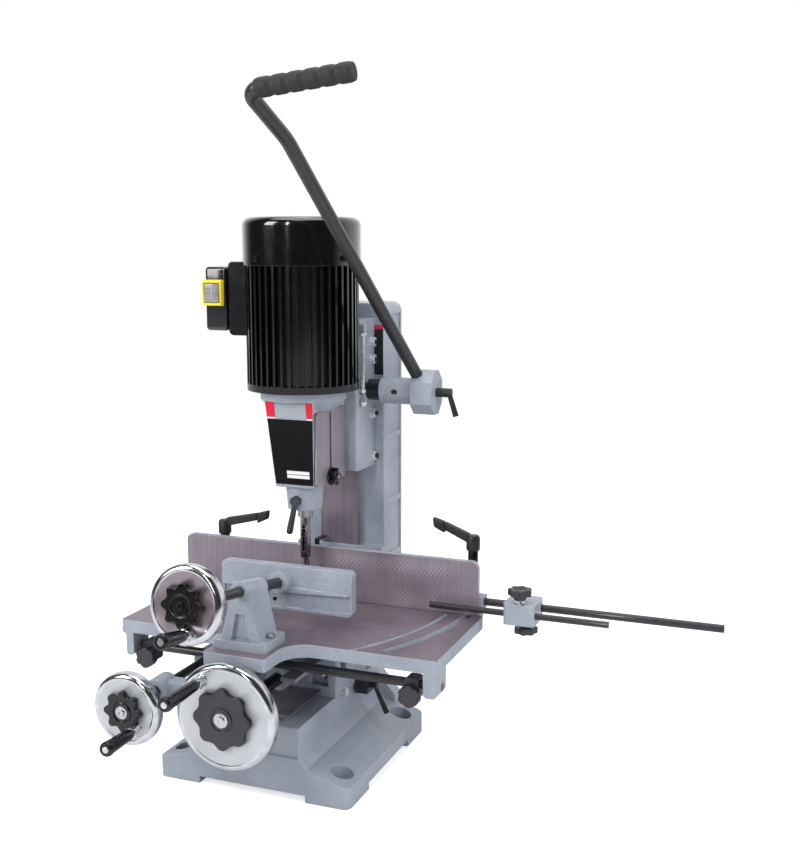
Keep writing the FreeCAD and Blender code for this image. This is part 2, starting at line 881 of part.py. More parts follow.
def motor_inside():
    ring = cut(rod_z(motor_bore, stator_low, stator_high, 0, axis_y),
               rod_z(stator_inner, stator_low - over, stator_high + over, 0, axis_y))
    save("stator", ring)
    shaft = rod_z(rotor_shaft, rotor_shaft_low, rotor_shaft_high, 0, axis_y)
    core = rod_z(rotor_radius, stator_low, stator_high, 0, axis_y)
    save("rotor", join(shaft, core))
    bearings = []
    for low in (motor_low + fit, motor_high - bearing_width - fit):
        bearings.append(cut(rod_z(bearing_outer, low, low + bearing_width, 0, axis_y),
                            rod_z(rotor_shaft + shaft_fit, low - over, low + over, 0, axis_y)))
    save("motor_bearings", *bearings)
    hub = cut(rod_z(fan_hub, fan_low, fan_high, 0, axis_y),
              rod_z(rotor_shaft, fan_low - over, fan_high + over, 0, axis_y))
    blade = box(fan_hub - fan_blade_thick, fan_radius, axis_y - fan_blade_thick / 2, axis_y + fan_blade_thick / 2,
                fan_low, fan_high)
    blade = cut(blade, rod_z(rotor_shaft, fan_low - over, fan_high + over, 0, axis_y))
    blades = [turned(blade, 360 * step / fan_blades, point(0, axis_y, 0), "z") for step in range(fan_blades)]
    save("cooling_fan", join(hub, *blades))


def switch_set():
    outer = box(switch_left, flange_left, switch_front, switch_back, switch_low, switch_high)
    outer = rounded(outer, switch_round, "x")
    room = box(switch_left + switch_wall, flange_left - switch_wall, switch_front + switch_wall,
               switch_back - switch_wall, switch_low + switch_wall, switch_high - switch_wall)
    hole_left, hole_right = bezel_left + bezel_rim * 2, bezel_right - bezel_rim - switch_wall
    hole = box(hole_left, hole_right, switch_front - over, switch_front + over / 8,
               bezel_low + bezel_rim * 2, bezel_high - bezel_rim * 2)
    save("switch_box", cut(outer, room, hole))
    front = switch_front - bezel_depth
    frame = box(bezel_left, bezel_right, front, switch_front, bezel_low, bezel_high)
    well = box(bezel_left + bezel_rim, bezel_right - bezel_rim, front - over, switch_front + over,
               bezel_low + bezel_rim, bezel_high - bezel_rim)
    save("switch_bezel", cut(frame, well))
    x0, x1 = bezel_left + bezel_rim + fit, bezel_right - bezel_rim - fit
    z0, z1 = bezel_low + bezel_rim + fit, bezel_high - bezel_rim - fit
    face = front - paddle_height / 2
    cap = prism([(switch_front - paddle_travel - fit, z0), (switch_front - paddle_travel - fit, z1), (face, z1),
                 (front, (z0 + z1) / 2), (face, z0)], "x", x0, x1)
    stem = box(hole_left + fit * 2, hole_right - fit * 2, front, switch_front + bezel_depth,
               bezel_low + bezel_rim * 2 + fit * 2, bezel_high - bezel_rim * 2 - fit * 2)
    save("switch_paddle", join(cap, stem))


def tool_set():
    at = lambda level: point(0, axis_y, level)
    shoulder = chuck_high - (chuck_radius - chuck_nose)
    body = join(rod_z(chuck_radius, chuck_low + chuck_nose, chuck_high, 0, axis_y),
                cone(chuck_nose, chuck_radius, at(chuck_low), at(chuck_low + chuck_nose)))
    save("drill_chuck", cut(body, rod_z(auger_radius, chuck_low - over, auger_top, 0, axis_y),
                            rod_z(rotor_shaft, rotor_shaft_low, shoulder + over, 0, axis_y)))
    bit = join(rod_z(auger_radius, auger_head_high, auger_top, 0, axis_y),
               rod_z(auger_head, auger_head_low, auger_head_high, 0, axis_y),
               cone(0, auger_head, at(auger_tip), at(auger_head_low)))
    save("auger_bit", bit)
    square = box(-chisel_half, chisel_half, axis_y - chisel_half, axis_y + chisel_half,
                 chisel_low, chisel_shoulder_low)
    shank = join(square, rod_z(chisel_shoulder_radius, chisel_shoulder_low, neck_low - fit, 0, axis_y),
                 rod_z(chisel_shank_radius, neck_low - fit, chisel_shank_top, 0, axis_y))
    window = box(-chip_window_half, chip_window_half, axis_y - over, axis_y, chip_window_low, chip_window_high)
    save("chisel", cut(shank, window, rod_z(chisel_bore, chisel_low - over, chisel_shank_top + over, 0, axis_y)))


def chuck_cover_set():
    plate = box(side_plane + fit, chuck_cover_outer, chuck_cover_front, chuck_cover_back,
                chuck_cover_low, chuck_cover_high)
    plate = rounded(plate, slide_edge, "x")
    y0, y1 = cover_slot_y - cover_slot_half, cover_slot_y + cover_slot_half
    slot = join(box(0, over * 2, y0, y1, cover_slot_low + cover_slot_half, cover_slot_high),
                rod_x(cover_slot_half, 0, over * 2, cover_slot_y, cover_slot_high),
                rod_x(cover_slot_half, 0, over * 2, cover_slot_y, cover_slot_low + cover_slot_half))
    save("chuck_cover", cut(plate, slot))
    face = chuck_cover_outer + fit
    knob = rod_x(cover_knob_radius, face, face + cover_knob_thick, cover_slot_y, cover_knob_z)
    notch = rod_x(cover_knob_stud, face - over, face + over, cover_slot_y + cover_knob_radius + cover_knob_stud / 3,
                  cover_knob_z)
    centre = point(0, cover_slot_y, cover_knob_z)
    notches = [turned(notch, 360 * step / star_lobes, centre, "x") for step in range(star_lobes)]
    stud = rod_x(cover_knob_stud, chuck_room_half + fit, face, cover_slot_y, cover_knob_z)
    save("cover_knob", cut(join(knob, stud), *notches))


def chisel_lever():
    hub = rod_y(chisel_hub_radius, chisel_hub_front, chisel_hub_back, 0, chisel_screw_z)
    stud = rod_y(chisel_screw_radius, chisel_hub_back, axis_y - chisel_shank_radius - fit, 0, chisel_screw_z)
    middle = (chisel_hub_front + chisel_hub_back) / 2
    start = point(0, middle, chisel_screw_z)
    end = point(-chisel_lever_lean, middle, chisel_screw_z - chisel_lever_length)
    arm = cone(chisel_lever_radius, chisel_lever_tip, start, end)
    save("chisel_lever", join(hub, stud, arm, Part.makeSphere(chisel_lever_tip, end)))


def bent_bar(radius, route, bends):
    """A round bar along straight runs with an arc at each inner point."""
    pieces = []
    start = route[0]
    for corner, after, bend in zip(route[1:], route[2:], bends):
        back = (start - corner).normalize()
        onward = (after - corner).normalize()
        half = back.getAngle(onward) / 2
        reach = bend / tan(half)
        entry, leave = corner + back * reach, corner + onward * reach
        middle = corner + (back + onward).normalize() * (bend / sin(half) - bend)
        pieces.append(Part.LineSegment(start, entry).toShape())
        pieces.append(Part.Arc(entry, middle, leave).toShape())
        start = leave
    pieces.append(Part.LineSegment(start, route[-1]).toShape())
    spine = Part.Wire(pieces)
    ring = Part.Wire(Part.makeCircle(radius, route[0], route[1] - route[0]))
    return spine.makePipeShell([ring], True, False)


def feed_lever_set():
    pitch = feed_module * feed_teeth / 2
    wheel = gear(feed_module, feed_teeth, -rack_half, rack_half, point(0, 0, 0), fit)
    reach = pitch * 2
    late = radians(feed_margin)
    early = radians(feed_sweep + feed_margin)
    wedge = prism([(0, 0), (reach * cos(late), reach * sin(late)), (reach, 0),
                   (reach * cos(early / 2), -reach * sin(early / 2)), (reach * cos(early), -reach * sin(early))], "z",
                  -over, over)
    sector = wheel.common(wedge)
    upright = FreeCAD.Rotation(AXES["y"], AXES["z"], AXES["x"], "ZXY")
    sector.Placement = FreeCAD.Placement(point(0, hub_y, hub_z), upright)
    shaft = join(rod_x(feed_shaft_radius, feed_shaft_left, feed_shaft_right, hub_y, hub_z),
                 rod_x(collar_radius, collar_left, collar_right, hub_y, hub_z))
    save("pinion_shaft", join(shaft, sector))
    foot = point(*lever_foot)
    knee = point(*lever_knee)
    bend = point(*lever_bend)
    end = point(*lever_end)
    barrel = rod_x(hub_radius, collar_right, hub_right, hub_y, hub_z)
    half_z, half_y = hub_block_half_z, hub_block_half_y
    bevel = half_y * 2 / 3
    outline = [(hub_y - half_y, hub_z - half_z + bevel), (hub_y - half_y + bevel, hub_z - half_z),
               (hub_y + half_y - bevel, hub_z - half_z), (hub_y + half_y, hub_z - half_z + bevel),
               (hub_y + half_y, hub_z + half_z - bevel), (hub_y + half_y - bevel, hub_z + half_z),
               (hub_y - half_y + bevel, hub_z + half_z), (hub_y - half_y, hub_z + half_z - bevel)]
    block = prism(outline, "x", hub_right, hub_block_right)
    socket = rod(lever_radius, foot, foot + (knee - foot).normalize() * over * 2)
    hole = rod_y(hub_hole_radius, hub_y - over, hub_y, (collar_right + hub_right) / 2, hub_z)
    bore = rod_x(feed_shaft_radius, collar_right - over, feed_shaft_right, hub_y, hub_z)
    stud_hole = rod_x(handle_radius + shaft_fit, hub_block_right - over / 2, hub_block_right + over, hub_y, hub_z)
    save("feed_hub", cut(join(barrel, block), socket, hole, bore, stud_hole))
    save("feed_lever", bent_bar(lever_radius, [foot, knee, bend, end], (lever_knee_round, lever_bend_round)))
    along = (end - bend).normalize()
    start = bend + along * (grip_start_x - bend.x)
    finish = bend + along * (grip_end_x - bend.x)
    step = (finish - start).Length / grip_humps
    profile = [(grip_bore, 0)]
    for hump in range(grip_humps):
        profile += [(grip_waist, step * hump), (grip_radius, step * (hump + 1 / 4)),
                    (grip_radius, step * (hump + 3 / 4))]
    profile += [(grip_waist, step * grip_humps), (0, step * grip_humps)]
    inner = (end - start).Length + shaft_fit
    profile += [(0, inner), (grip_bore, inner)]
    grip = spun(profile, start, along)
    save("feed_grip", grip)
    hub = rod_x(handle_hub, hub_block_right + fit, handle_right, hub_y, hub_z)
    stud = rod_x(handle_radius, hub_block_right - over / 2 + fit, handle_right, hub_y, hub_z)
    arm_x = handle_right - handle_hub / 2
    arm = cone(handle_radius, handle_radius * 6 / 5, point(arm_x, hub_y, hub_z),
               point(arm_x + handle_lean, hub_y, hub_z - handle_length))
    save("hub_handle", join(hub, stud, arm))


def star(centre, way, radius, height, lobes, lobe_share=0.16, bore=0):
    """A lobed knob: a disc with one scoop between each pair of lobes."""
    disc = Part.makeCylinder(radius, height)
    notch = Part.makeCylinder(radius * lobe_share * 2, height * 3, point(radius * (1 + lobe_share), 0, -height))
    notches = [turned(notch, 360 * step / lobes, point(0, 0, 0), "z") for step in range(lobes)]
    if bore:
        notches.append(Part.makeCylinder(bore, height * 3, point(0, 0, -height)))
    knob = cut(disc, *notches)
    knob.Placement = FreeCAD.Placement(centre, FreeCAD.Rotation(AXES["z"], way))
    return knob


def saddle_set():
    body = box(-saddle_half, saddle_half, saddle_front, saddle_back, saddle_bottom, saddle_top)
    arm = box(feed_x, -saddle_half, nut_arm_front, nut_arm_back, nut_arm_low, feed_z + boss_radius)
    nut = rod_y(boss_radius, nut_arm_front, nut_arm_back, feed_x, feed_z)
    link = box(-saddle_half, -saddle_half + over, nut_arm_front, saddle_front, nut_arm_low, feed_z + boss_radius)
    boss = rod_y(boss_radius, boss_front, saddle_front, cross_x, cross_z)
    body = join(body, arm, nut, link, boss)
    rail = dovetail(rail_y, rail_half_top, rail_half_low, -saddle_top, -rail_low, fit, fit, fit)
    rail = [(a, -b) for a, b in rail]
    way = dovetail(0, way_half_root, way_half_top, block_top, way_top, fit, fit, fit)
    recess_y = saddle_front + recess_depth
    tools = [prism(rail, "x", -saddle_half - over, saddle_half + over),
             prism(way, "y", saddle_front - over, saddle_back + over),
             box(-saddle_half - over, saddle_half + over, channel_front, channel_back, channel_low, saddle_top),
             rod_y(cross_shaft_radius + shaft_fit, boss_front - over, cross_shaft_back + fit * 2, cross_x, cross_z),
             box(saddle_half - recess_half * 2, saddle_half - recess_depth, saddle_front - over, recess_y,
                 recess_low, stop_plate_low - recess_depth),
             rod_y(feed_screw_radius + shaft_fit, nut_arm_front - over, saddle_back, feed_x, feed_z)]
    save("saddle_casting", cut(body, *tools))
    tongue = box(stop_plate_left, stop_plate_right, stop_plate_front, saddle_front, stop_plate_low, stop_plate_high)
    foot = box(stop_plate_left, stop_plate_right, saddle_front - (stop_plate_high - stop_plate_low), saddle_front,
               stop_plate_high, saddle_top - fit)
    save("stop_plate", join(tongue, foot))
    y = (lock_front + lock_back) / 2
    z = (lock_low + lock_high) / 2
    stud_left = saddle_half + handle_radius
    block = box(saddle_half, lock_right, lock_front, lock_back, lock_low, lock_high)
    save("lock_block", cut(block, rod_x(handle_radius + shaft_fit, stud_left, lock_right + over, y, z)))
    hub = rod_x(handle_hub * 4 / 5, lock_right + fit, lock_hub_right, y, z)
    stud = rod_x(handle_radius, stud_left + fit, lock_hub_right, y, z)
    middle = (lock_right + fit + lock_hub_right) / 2
    arm = cone(handle_radius * 4 / 5, handle_radius * 6 / 5, point(middle, y, z),
               point(middle + lock_lean, y, z - lock_drop))
    save("lock_lever", join(hub, stud, arm))


def table_outline():
    left = platform_x - platform_half
    right = platform_x + platform_half
    bend = platform_sweep
    bow = bend * (1 - sqrt(1 / 2))
    line = lambda a, b: Part.LineSegment(point(*a, 0), point(*b, 0)).toShape()
    arc = lambda a, b, c: Part.Arc(point(*a, 0), point(*b, 0), point(*c, 0)).toShape()
    edge = ear_back
    lines = [line((table_left, table_front), (left - bend, table_front)),
             arc((left - bend, table_front), (left - bow, table_front - bow), (left, table_front - bend)),
             line((left, table_front - bend), (left, platform_front)),
             line((left, platform_front), (right, platform_front)),
             line((right, platform_front), (right, table_front - bend)),
             arc((right, table_front - bend), (right + bow, table_front - bow), (right + bend, table_front)),
             line((right + bend, table_front), (table_right, table_front)),
             line((table_right, table_front), (table_right, table_back)),
             line((table_right, table_back), (right_ear_edge, table_back)),
             line((right_ear_edge, table_back), (right_ear_edge, edge)),
             line((right_ear_edge, edge), (right_ear_edge - ear_half * 2, edge)),
             line((right_ear_edge - ear_half * 2, edge), (right_ear_edge - ear_half * 2, table_back)),
             line((right_ear_edge - ear_half * 2, table_back), (fence_pivot_x + ear_half, table_back)),
             line((fence_pivot_x + ear_half, table_back), (fence_pivot_x + ear_half, edge)),
             line((fence_pivot_x + ear_half, edge), (fence_pivot_x - ear_half, edge)),
             line((fence_pivot_x - ear_half, edge), (fence_pivot_x - ear_half, table_back)),
             line((fence_pivot_x - ear_half, table_back), (table_left, table_back)),
             line((table_left, table_back), (table_left, table_front))]
    return Part.Wire(lines)


def arc_slot(radius, half, start, end, low, high):
    """A slot along an arc about the fence pivot, from start to end degrees."""
    centre = point(fence_pivot_x, fence_pivot_y, low)
    ring = cut(Part.makeCylinder(radius + half, high - low, centre, AXES["z"], end - start),
               Part.makeCylinder(radius - half, high - low, centre, AXES["z"], end - start))
    ring.rotate(centre, AXES["z"], start)
    ends = []
    for angle in (start, end):
        place = centre + point(radius * cos(radians(angle)), radius * sin(radians(angle)), 0)
        ends.append(Part.makeCylinder(half, high - low, place))
    return join(ring, *ends)


def table_set():
    outline = table_outline()
    plate = Part.Face(outline).extrude(AXES["z"] * table_plate)
    plate.translate(point(0, 0, table_top - table_plate))
    lip_low = table_top - table_lip
    outer = Part.Face(outline)
    inner = Part.Face(outline.makeOffset2D(-table_lip_wall, join=2))
    lip = outer.cut(inner).extrude(AXES["z"] * (table_lip - table_plate))
    lip.translate(point(0, 0, lip_low))
    keep = box(table_left - over, table_right + over, platform_front - over, table_back, lip_low - over, table_top)
    lip = lip.common(keep)
    body = plate.fuse([lip]).removeSplitter()
    front_corners = lambda edge: (edge.CenterOfMass.y < platform_front + fit or
                                  abs(edge.CenterOfMass.x - table_left) < fit or
                                  abs(edge.CenterOfMass.x - table_right) < fit) and edge.CenterOfMass.z > lip_low
    body = rounded(body, table_corner, "z", front_corners)
    rail = dovetail(rail_y, rail_half_top, rail_half_low, -saddle_top, -rail_low)
    rail = [(a, -b) for a, b in rail]
    neck = box(rail_left, rail_right, rail_y - rail_half_top, rail_y + rail_half_top, saddle_top - fit,
               table_top - table_plate)
    body = join(body, prism(rail, "x", rail_left, rail_right).common(
        box(rail_left, rail_right, -over * 4, over * 4, 0, saddle_top)), neck)
    lugs = [box(near, far, table_front, lug_back, lug_low, table_top - table_plate)
            for near, far in (left_lug, right_lug)]
    lugs = [rounded(lug, lug_round, "y", lambda edge: edge.CenterOfMass.z < lug_low + fit) for lug in lugs]
    foot = left_lug[0]
    flare = box(foot - lug_flare, foot + lug_round, table_front, lug_back, lip_low - lug_flare,
                table_top - table_plate)
    lugs.append(cut(flare, rod_y(lug_flare, table_front - over, lug_back + over, foot - lug_flare,
                                 lip_low - lug_flare)))
    body = join(body, *lugs)
    tools = [rod_x(stop_bar_radius, table_left - over, table_right + over, stop_bar_y, stop_bar_z),
             rod_z(fence_stud_radius + shaft_fit, lip_low - over, table_top + over, fence_pivot_x, fence_pivot_y),
             arc_slot(fence_slot_radius, fence_stud_radius + fit, fence_slot_end, 0, lip_low - over,
                      table_top + over),
             arc_slot(fence_slot_radius, fence_nut_radius + fit, fence_slot_end, 0, lip_low - over,
                      table_top - table_plate),
             arc_slot(groove_radius, groove_half, groove_start, groove_end, table_top - groove_depth,
                      table_top + over)]
    save("table_casting", cut(body, *tools))
    save("stop_bar", rod_x(stop_bar_radius, left_lug[0], right_lug[1], stop_bar_y, stop_bar_z))
    pitch_z = cross_z + cross_module * cross_teeth / 2
    step = pi * cross_module
    count = 2 * int((table_rack_right - cross_x) / step + 1)
    outline = rack_outline(cross_module, count, fit, rail_low - pitch_z)
    outline = [(cross_x + along, pitch_z - depth) for along, depth in outline]
    rack = prism(outline, "y", table_rack_front, table_rack_back)
    window = box(table_rack_left, table_rack_right, -over, over, 0, rail_low)
    save("table_rack", rack.common(window))


def stop(name, x):
    body = box(x - stop_half, x + stop_half, stop_front, stop_back, stop_low, stop_high)
    body = rounded(body, stop_half / 2, "y")
    bore = rod_x(stop_bar_radius + shaft_fit, x - over, x + over, stop_bar_y, stop_bar_z)
    hole = rod_y(star_stud, stop_front - over, stop_back - star_stud, x, stop_screw_z)
    body = cut(body, bore, hole)
    front = point(x, stop_front, stop_screw_z)
    knob = star(front, -AXES["y"], stop_knob_radius, star_thick, star_lobes)
    stud = rod_y(star_stud, stop_front - star_thick / 2, stop_back - star_stud * 2, x, stop_screw_z)
    save(name, body, join(knob, stud))


def wheel(name, radius, centre, out, grip_offset, length, bore):
    """A dished hand wheel with a lobed centre and a turning grip. out points from the rim to the user."""
    side = AXES["x"]
    up = out.cross(side)
    hub = radius * wheel_hub_share
    half = wheel_thick / 2
    rim_in = radius - wheel_rim
    profile = [(bore, -half - wheel_hub_back), (hub, -half - wheel_hub_back), (hub, -wheel_web / 2),
               (rim_in, -wheel_web / 2), (rim_in, -half), (radius - wheel_round, -half), (radius, -half + wheel_round),
               (radius, half - wheel_round), (radius - wheel_round, half), (rim_in, half),
               (rim_in - wheel_web, wheel_web / 2), (bore, wheel_web / 2)]
    disc = spun(profile, centre, out)
    a, b = grip_offset
    seat = centre + side * a + up * b
    stud_start = seat + out * (wheel_web / 2)
    grip_start = seat + out * (half + grip_gap)
    stud = rod(grip_stud, stud_start, grip_start + out * (length - grip_fat))
    collar = rod(grip_thin, seat, grip_start - out * fit)
    save(name + "_wheel", join(disc, stud, collar))
    knob = star(centre + out * (wheel_web / 2), out, radius * star_share, star_height, wheel_lobes, star_lobe_share)
    save(name + "_star", cut(knob, rod(grip_thin + fit, seat, grip_start)))
    inner = length - grip_fat + shaft_fit
    hole = grip_stud + shaft_fit
    profile = [(hole, 0), (grip_thin, 0), (grip_thin, length / 12), (grip_fat, length / 2),
               (grip_fat, length * 3 / 4), (grip_thin, length), (0, length), (0, inner), (hole, inner)]
    save(name + "_grip", spun(profile, grip_start, out))


def hand_wheels():
    front = -AXES["y"]
    wheel("big", big_wheel_radius, point(cross_x, big_wheel_y, cross_z), front, big_grip_offset,
          big_grip_length, cross_shaft_radius)
    wheel("small", small_wheel_radius, point(feed_x, small_wheel_y, feed_z), front, small_grip_offset,
          small_grip_length, feed_screw_radius)
    wheel("vise", vise_wheel_radius, vise_point(vise_wheel_place), -vise_way(), vise_grip_offset,
          vise_grip_length, vise_screw_radius)
    shaft = rod_y(cross_shaft_radius, big_wheel_y + wheel_web / 2, cross_shaft_back, cross_x, cross_z)
    pinion = gear(cross_module, cross_teeth, table_rack_front, table_rack_back, point(0, 0, 0), fit)
    pinion.Placement = FreeCAD.Placement(point(cross_x, 0, cross_z), FreeCAD.Rotation(point(0, 0, 1), point(0, 1, 0)))
    save("table_pinion", join(shaft, pinion))
    bearing_edge = feed_bearing_front - fit
    shaft = rod_y(feed_screw_radius, small_wheel_y + wheel_web / 2, feed_screw_back, feed_x, feed_z)
    collars = [rod_y(feed_screw_radius + feed_screw_radius / 2, bearing_edge - feed_screw_radius, bearing_edge,
                     feed_x, feed_z)]
    save("feed_screw", join(shaft, *collars))


def clamp_lever(name, x, y, high, turn):
    """Ratchet lever on a post, with its stud through the fence foot and the table and a nut below."""
    low = high - fence_hub_height
    foot = table_top + fit + fence_foot_height
    hub = rod_z(fence_hub_radius, low, high, x, y)
    post = rod_z(fence_post_radius, foot + fit, low, x, y)
    nut_high = table_top - table_plate - fit
    stud = rod_z(fence_stud_radius, nut_high - fence_nut_height, foot + fit, x, y)
    nut = rod_z(fence_nut_radius, nut_high - fence_nut_height, nut_high, x, y)
    start = point(x, y, high - fence_hub_height / 4)
    end = start + point(lever_arm * cos(radians(turn)), lever_arm * sin(radians(turn)), lever_rise)
    arm = cone(lever_arm_root, lever_arm_tip, start, end)
    tip = Part.makeSphere(lever_arm_tip, end)
    save(name, join(hub, post, stud, nut, arm, tip))


def fence_set():
    low = table_top + fit
    back = fence_front + fence_thick
    plate = box(fence_left, fence_right, fence_front, back, low, fence_high)
    plate = rounded(plate, fence_corner, "y", lambda edge: edge.CenterOfMass.z > fence_high - fit)
    right_x = fence_pivot_x + fence_slot_radius
    feet = [box(x - half, x + fence_foot_half, back - fence_thick / 2, fence_foot_back, low, low + fence_foot_height)
            for x, half in ((fence_pivot_x, fence_foot_half), (right_x, fence_foot_half))]
    boss = box(rod_boss_left, rod_boss_right, back - fence_thick / 2, rear_rod_y + rod_boss_half,
               rear_rod_z - rod_boss_half, rear_rod_z + rod_boss_half)
    boss = cut(boss, rod_z(fence_post_radius + fit * 2, low, fence_high, right_x, fence_pivot_y))
    body = join(plate, *feet, boss)
    tools = [rod_z(fence_stud_radius + shaft_fit, low - over, low + fence_foot_height, fence_pivot_x, fence_pivot_y),
             rod_z(fence_stud_radius + shaft_fit, low - over, low + fence_foot_height, right_x, fence_pivot_y),
             rod_z(fence_post_radius + fit * 2, low + fence_foot_height, fence_high, right_x, fence_pivot_y),
             rod_x(rear_rod_radius, right_x + fence_post_radius + fit * 2, rear_rod_right, rear_rod_y, rear_rod_z)]
    save("fence_plate", cut(body, *tools))
    save("rear_rod", rod_x(rear_rod_radius, right_x + fence_post_radius + fit * 3, rear_rod_right, rear_rod_y, rear_rod_z))
    clamp_lever("fence_lever_left", fence_pivot_x, fence_pivot_y, left_lever_high, left_lever_turn)
    clamp_lever("fence_lever_right", right_x, fence_pivot_y, right_lever_high, right_lever_turn)
    clamp = box(clamp_left, clamp_right, clamp_front, clamp_back, clamp_low, clamp_high)
    clamp = rounded(clamp, slide_edge, "z")
    y = (front_rod_y + rear_rod_y) / 2
    tools = [rod_x(rear_rod_radius + shaft_fit, clamp_left - over, clamp_right + over, rear_rod_y, rear_rod_z),
             rod_x(front_rod_radius + shaft_fit, clamp_left - over, clamp_right + over, front_rod_y, front_rod_z),
             rod_z(star_stud, clamp_high - stop_half, clamp_high + over, rod_knob_x, front_rod_y),
             rod_z(star_stud, clamp_low - over, clamp_low + stop_half - star_stud, rod_knob_x, rear_rod_y)]
    save("rod_clamp", cut(clamp, *tools))
    save("front_rod", rod_x(front_rod_radius, front_rod_left, front_rod_right, front_rod_y, front_rod_z))
    top = star(point(rod_knob_x, front_rod_y, rod_knob_high - star_thick), AXES["z"], star_radius, star_thick,
               star_lobes)
    top = join(top, rod_z(star_stud, clamp_high - stop_half, rod_knob_high - star_thick, rod_knob_x, front_rod_y))
    bottom = star(point(rod_knob_x, rear_rod_y, rod_knob_low), AXES["z"], star_radius, star_thick, star_lobes)
    bottom = join(bottom, rod_z(star_stud, rod_knob_low + star_thick, clamp_low + stop_half - star_stud, rod_knob_x,
                                rear_rod_y))
    save("rod_knobs", top, bottom)


def vise_way():
    return point(0, cos(radians(vise_lean)), -sin(radians(vise_lean)))


def vise_point(along):
    return point(vise_x, vise_y, vise_z) + vise_way() * along


def vise_set():
    base = box(vise_x - bracket_half, vise_x + bracket_half, vise_base_front, vise_base_back, table_top,
               table_top + vise_base_height)
    base = rounded(base, vise_base_round, "z")
    legs = prism([(vise_x - vise_leg_half_low, table_top), (vise_x - vise_leg_half_high, vise_z),
                  (vise_x + vise_leg_half_high, vise_z), (vise_x + vise_leg_half_low, table_top)], "y",
                 vise_base_front + vise_base_round, vise_base_back - vise_base_round)
    barrel = rod(vise_barrel_radius, vise_point(vise_barrel_front), vise_point(vise_barrel_back))
    body = join(base, legs, barrel)
    bore = rod(vise_screw_radius + shaft_fit, vise_point(-over * 3), vise_point(over * 3))
    recess_low = table_top + vise_base_height
    recess_high = vise_z - vise_barrel_radius * 2
    panel = [(vise_x - vise_leg_half_high, recess_low), (vise_x - vise_leg_half_high / 2, recess_high),
             (vise_x + vise_leg_half_high / 2, recess_high), (vise_x + vise_leg_half_high, recess_low)]
    front = vise_base_front + vise_base_round
    back = vise_base_back - vise_base_round
    recesses = [prism(panel, "y", front - over, front + vise_leg_recess),
                prism(panel, "y", back - vise_leg_recess, back + over)]
    save("vise_bracket", cut(body, bore, *recesses))
    boss_start = (pad_front - vise_y - pad_boss_reach) / cos(radians(vise_lean))
    end = boss_start + pad_boss_reach
    save("vise_screw", rod(vise_screw_radius, vise_point(vise_wheel_place + wheel_web / 2), vise_point(end)))
    pad = box(pad_left, pad_right, pad_front, pad_back, pad_low, pad_high)
    pad = rounded(pad, pad_corner, "y")
    panel = box(pad_left + pad_panel_rim, pad_right - pad_panel_rim, pad_front - over, pad_front + pad_panel_depth,
                pad_low + pad_panel_rim, pad_band_low)
    panel = rounded(panel, pad_corner / 2, "y")
    rib = prism([(pad_left + pad_panel_rim, pad_rib_z - pad_rib_tip), (vise_x, pad_rib_z - pad_rib_half),
                 (pad_right - pad_panel_rim, pad_rib_z - pad_rib_tip), (pad_right - pad_panel_rim,
                 pad_rib_z + pad_rib_tip), (vise_x, pad_rib_z + pad_rib_half),
                 (pad_left + pad_panel_rim, pad_rib_z + pad_rib_tip)], "y", pad_front - pad_rib_reach, pad_back)
    boss = rod(pad_boss_radius, vise_point(boss_start), vise_point(end + pad_boss_reach / 2))
    boss = boss.common(box(pad_left, pad_right, pad_front - over, pad_back - shaft_fit, 0, column_top))
    body = join(cut(pad, panel), rib, boss)
    bore = rod(vise_screw_radius + shaft_fit, vise_point(boss_start - over), vise_point(end + shaft_fit))
    save("vise_pad", cut(body, bore))


os.makedirs("parts", exist_ok=True)
base_casting()
feed_bracket()
tilt_bolts()
column_casting()
column_way()
feed_rack()
head_casting()
head_gib()
head_screws()
depth_stop()
motor_shell()
fan_cover()
motor_inside()
switch_set()
tool_set()
chuck_cover_set()
chisel_lever()
feed_lever_set()
saddle_set()
table_set()
stop("stop_left", stop_left_x)
stop("stop_right", stop_right_x)
hand_wheels()
fence_set()
vise_set()
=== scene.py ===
"""Looks of the bench mortiser: finishes of its cast, machined and moulded parts, and its small parts."""
import json
import math

import bpy
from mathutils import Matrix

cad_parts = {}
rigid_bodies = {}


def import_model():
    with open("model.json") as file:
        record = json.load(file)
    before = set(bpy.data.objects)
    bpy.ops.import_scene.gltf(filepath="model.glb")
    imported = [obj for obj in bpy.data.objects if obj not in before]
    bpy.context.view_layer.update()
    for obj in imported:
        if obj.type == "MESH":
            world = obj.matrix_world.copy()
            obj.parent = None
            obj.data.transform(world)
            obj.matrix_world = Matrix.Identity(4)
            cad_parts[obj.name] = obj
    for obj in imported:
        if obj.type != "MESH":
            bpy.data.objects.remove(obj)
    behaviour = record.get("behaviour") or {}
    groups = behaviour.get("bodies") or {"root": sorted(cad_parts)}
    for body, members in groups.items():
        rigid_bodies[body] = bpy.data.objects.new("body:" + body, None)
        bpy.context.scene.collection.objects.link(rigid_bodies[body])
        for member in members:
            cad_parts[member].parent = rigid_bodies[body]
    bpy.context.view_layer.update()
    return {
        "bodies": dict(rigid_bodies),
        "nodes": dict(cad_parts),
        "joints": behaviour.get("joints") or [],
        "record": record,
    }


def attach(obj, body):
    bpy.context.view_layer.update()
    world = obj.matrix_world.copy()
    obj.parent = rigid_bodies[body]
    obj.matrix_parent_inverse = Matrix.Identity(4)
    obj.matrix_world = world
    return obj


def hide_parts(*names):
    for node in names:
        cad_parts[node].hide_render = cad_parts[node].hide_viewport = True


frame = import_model()
nodes = frame["nodes"]


# Camera, floor and light

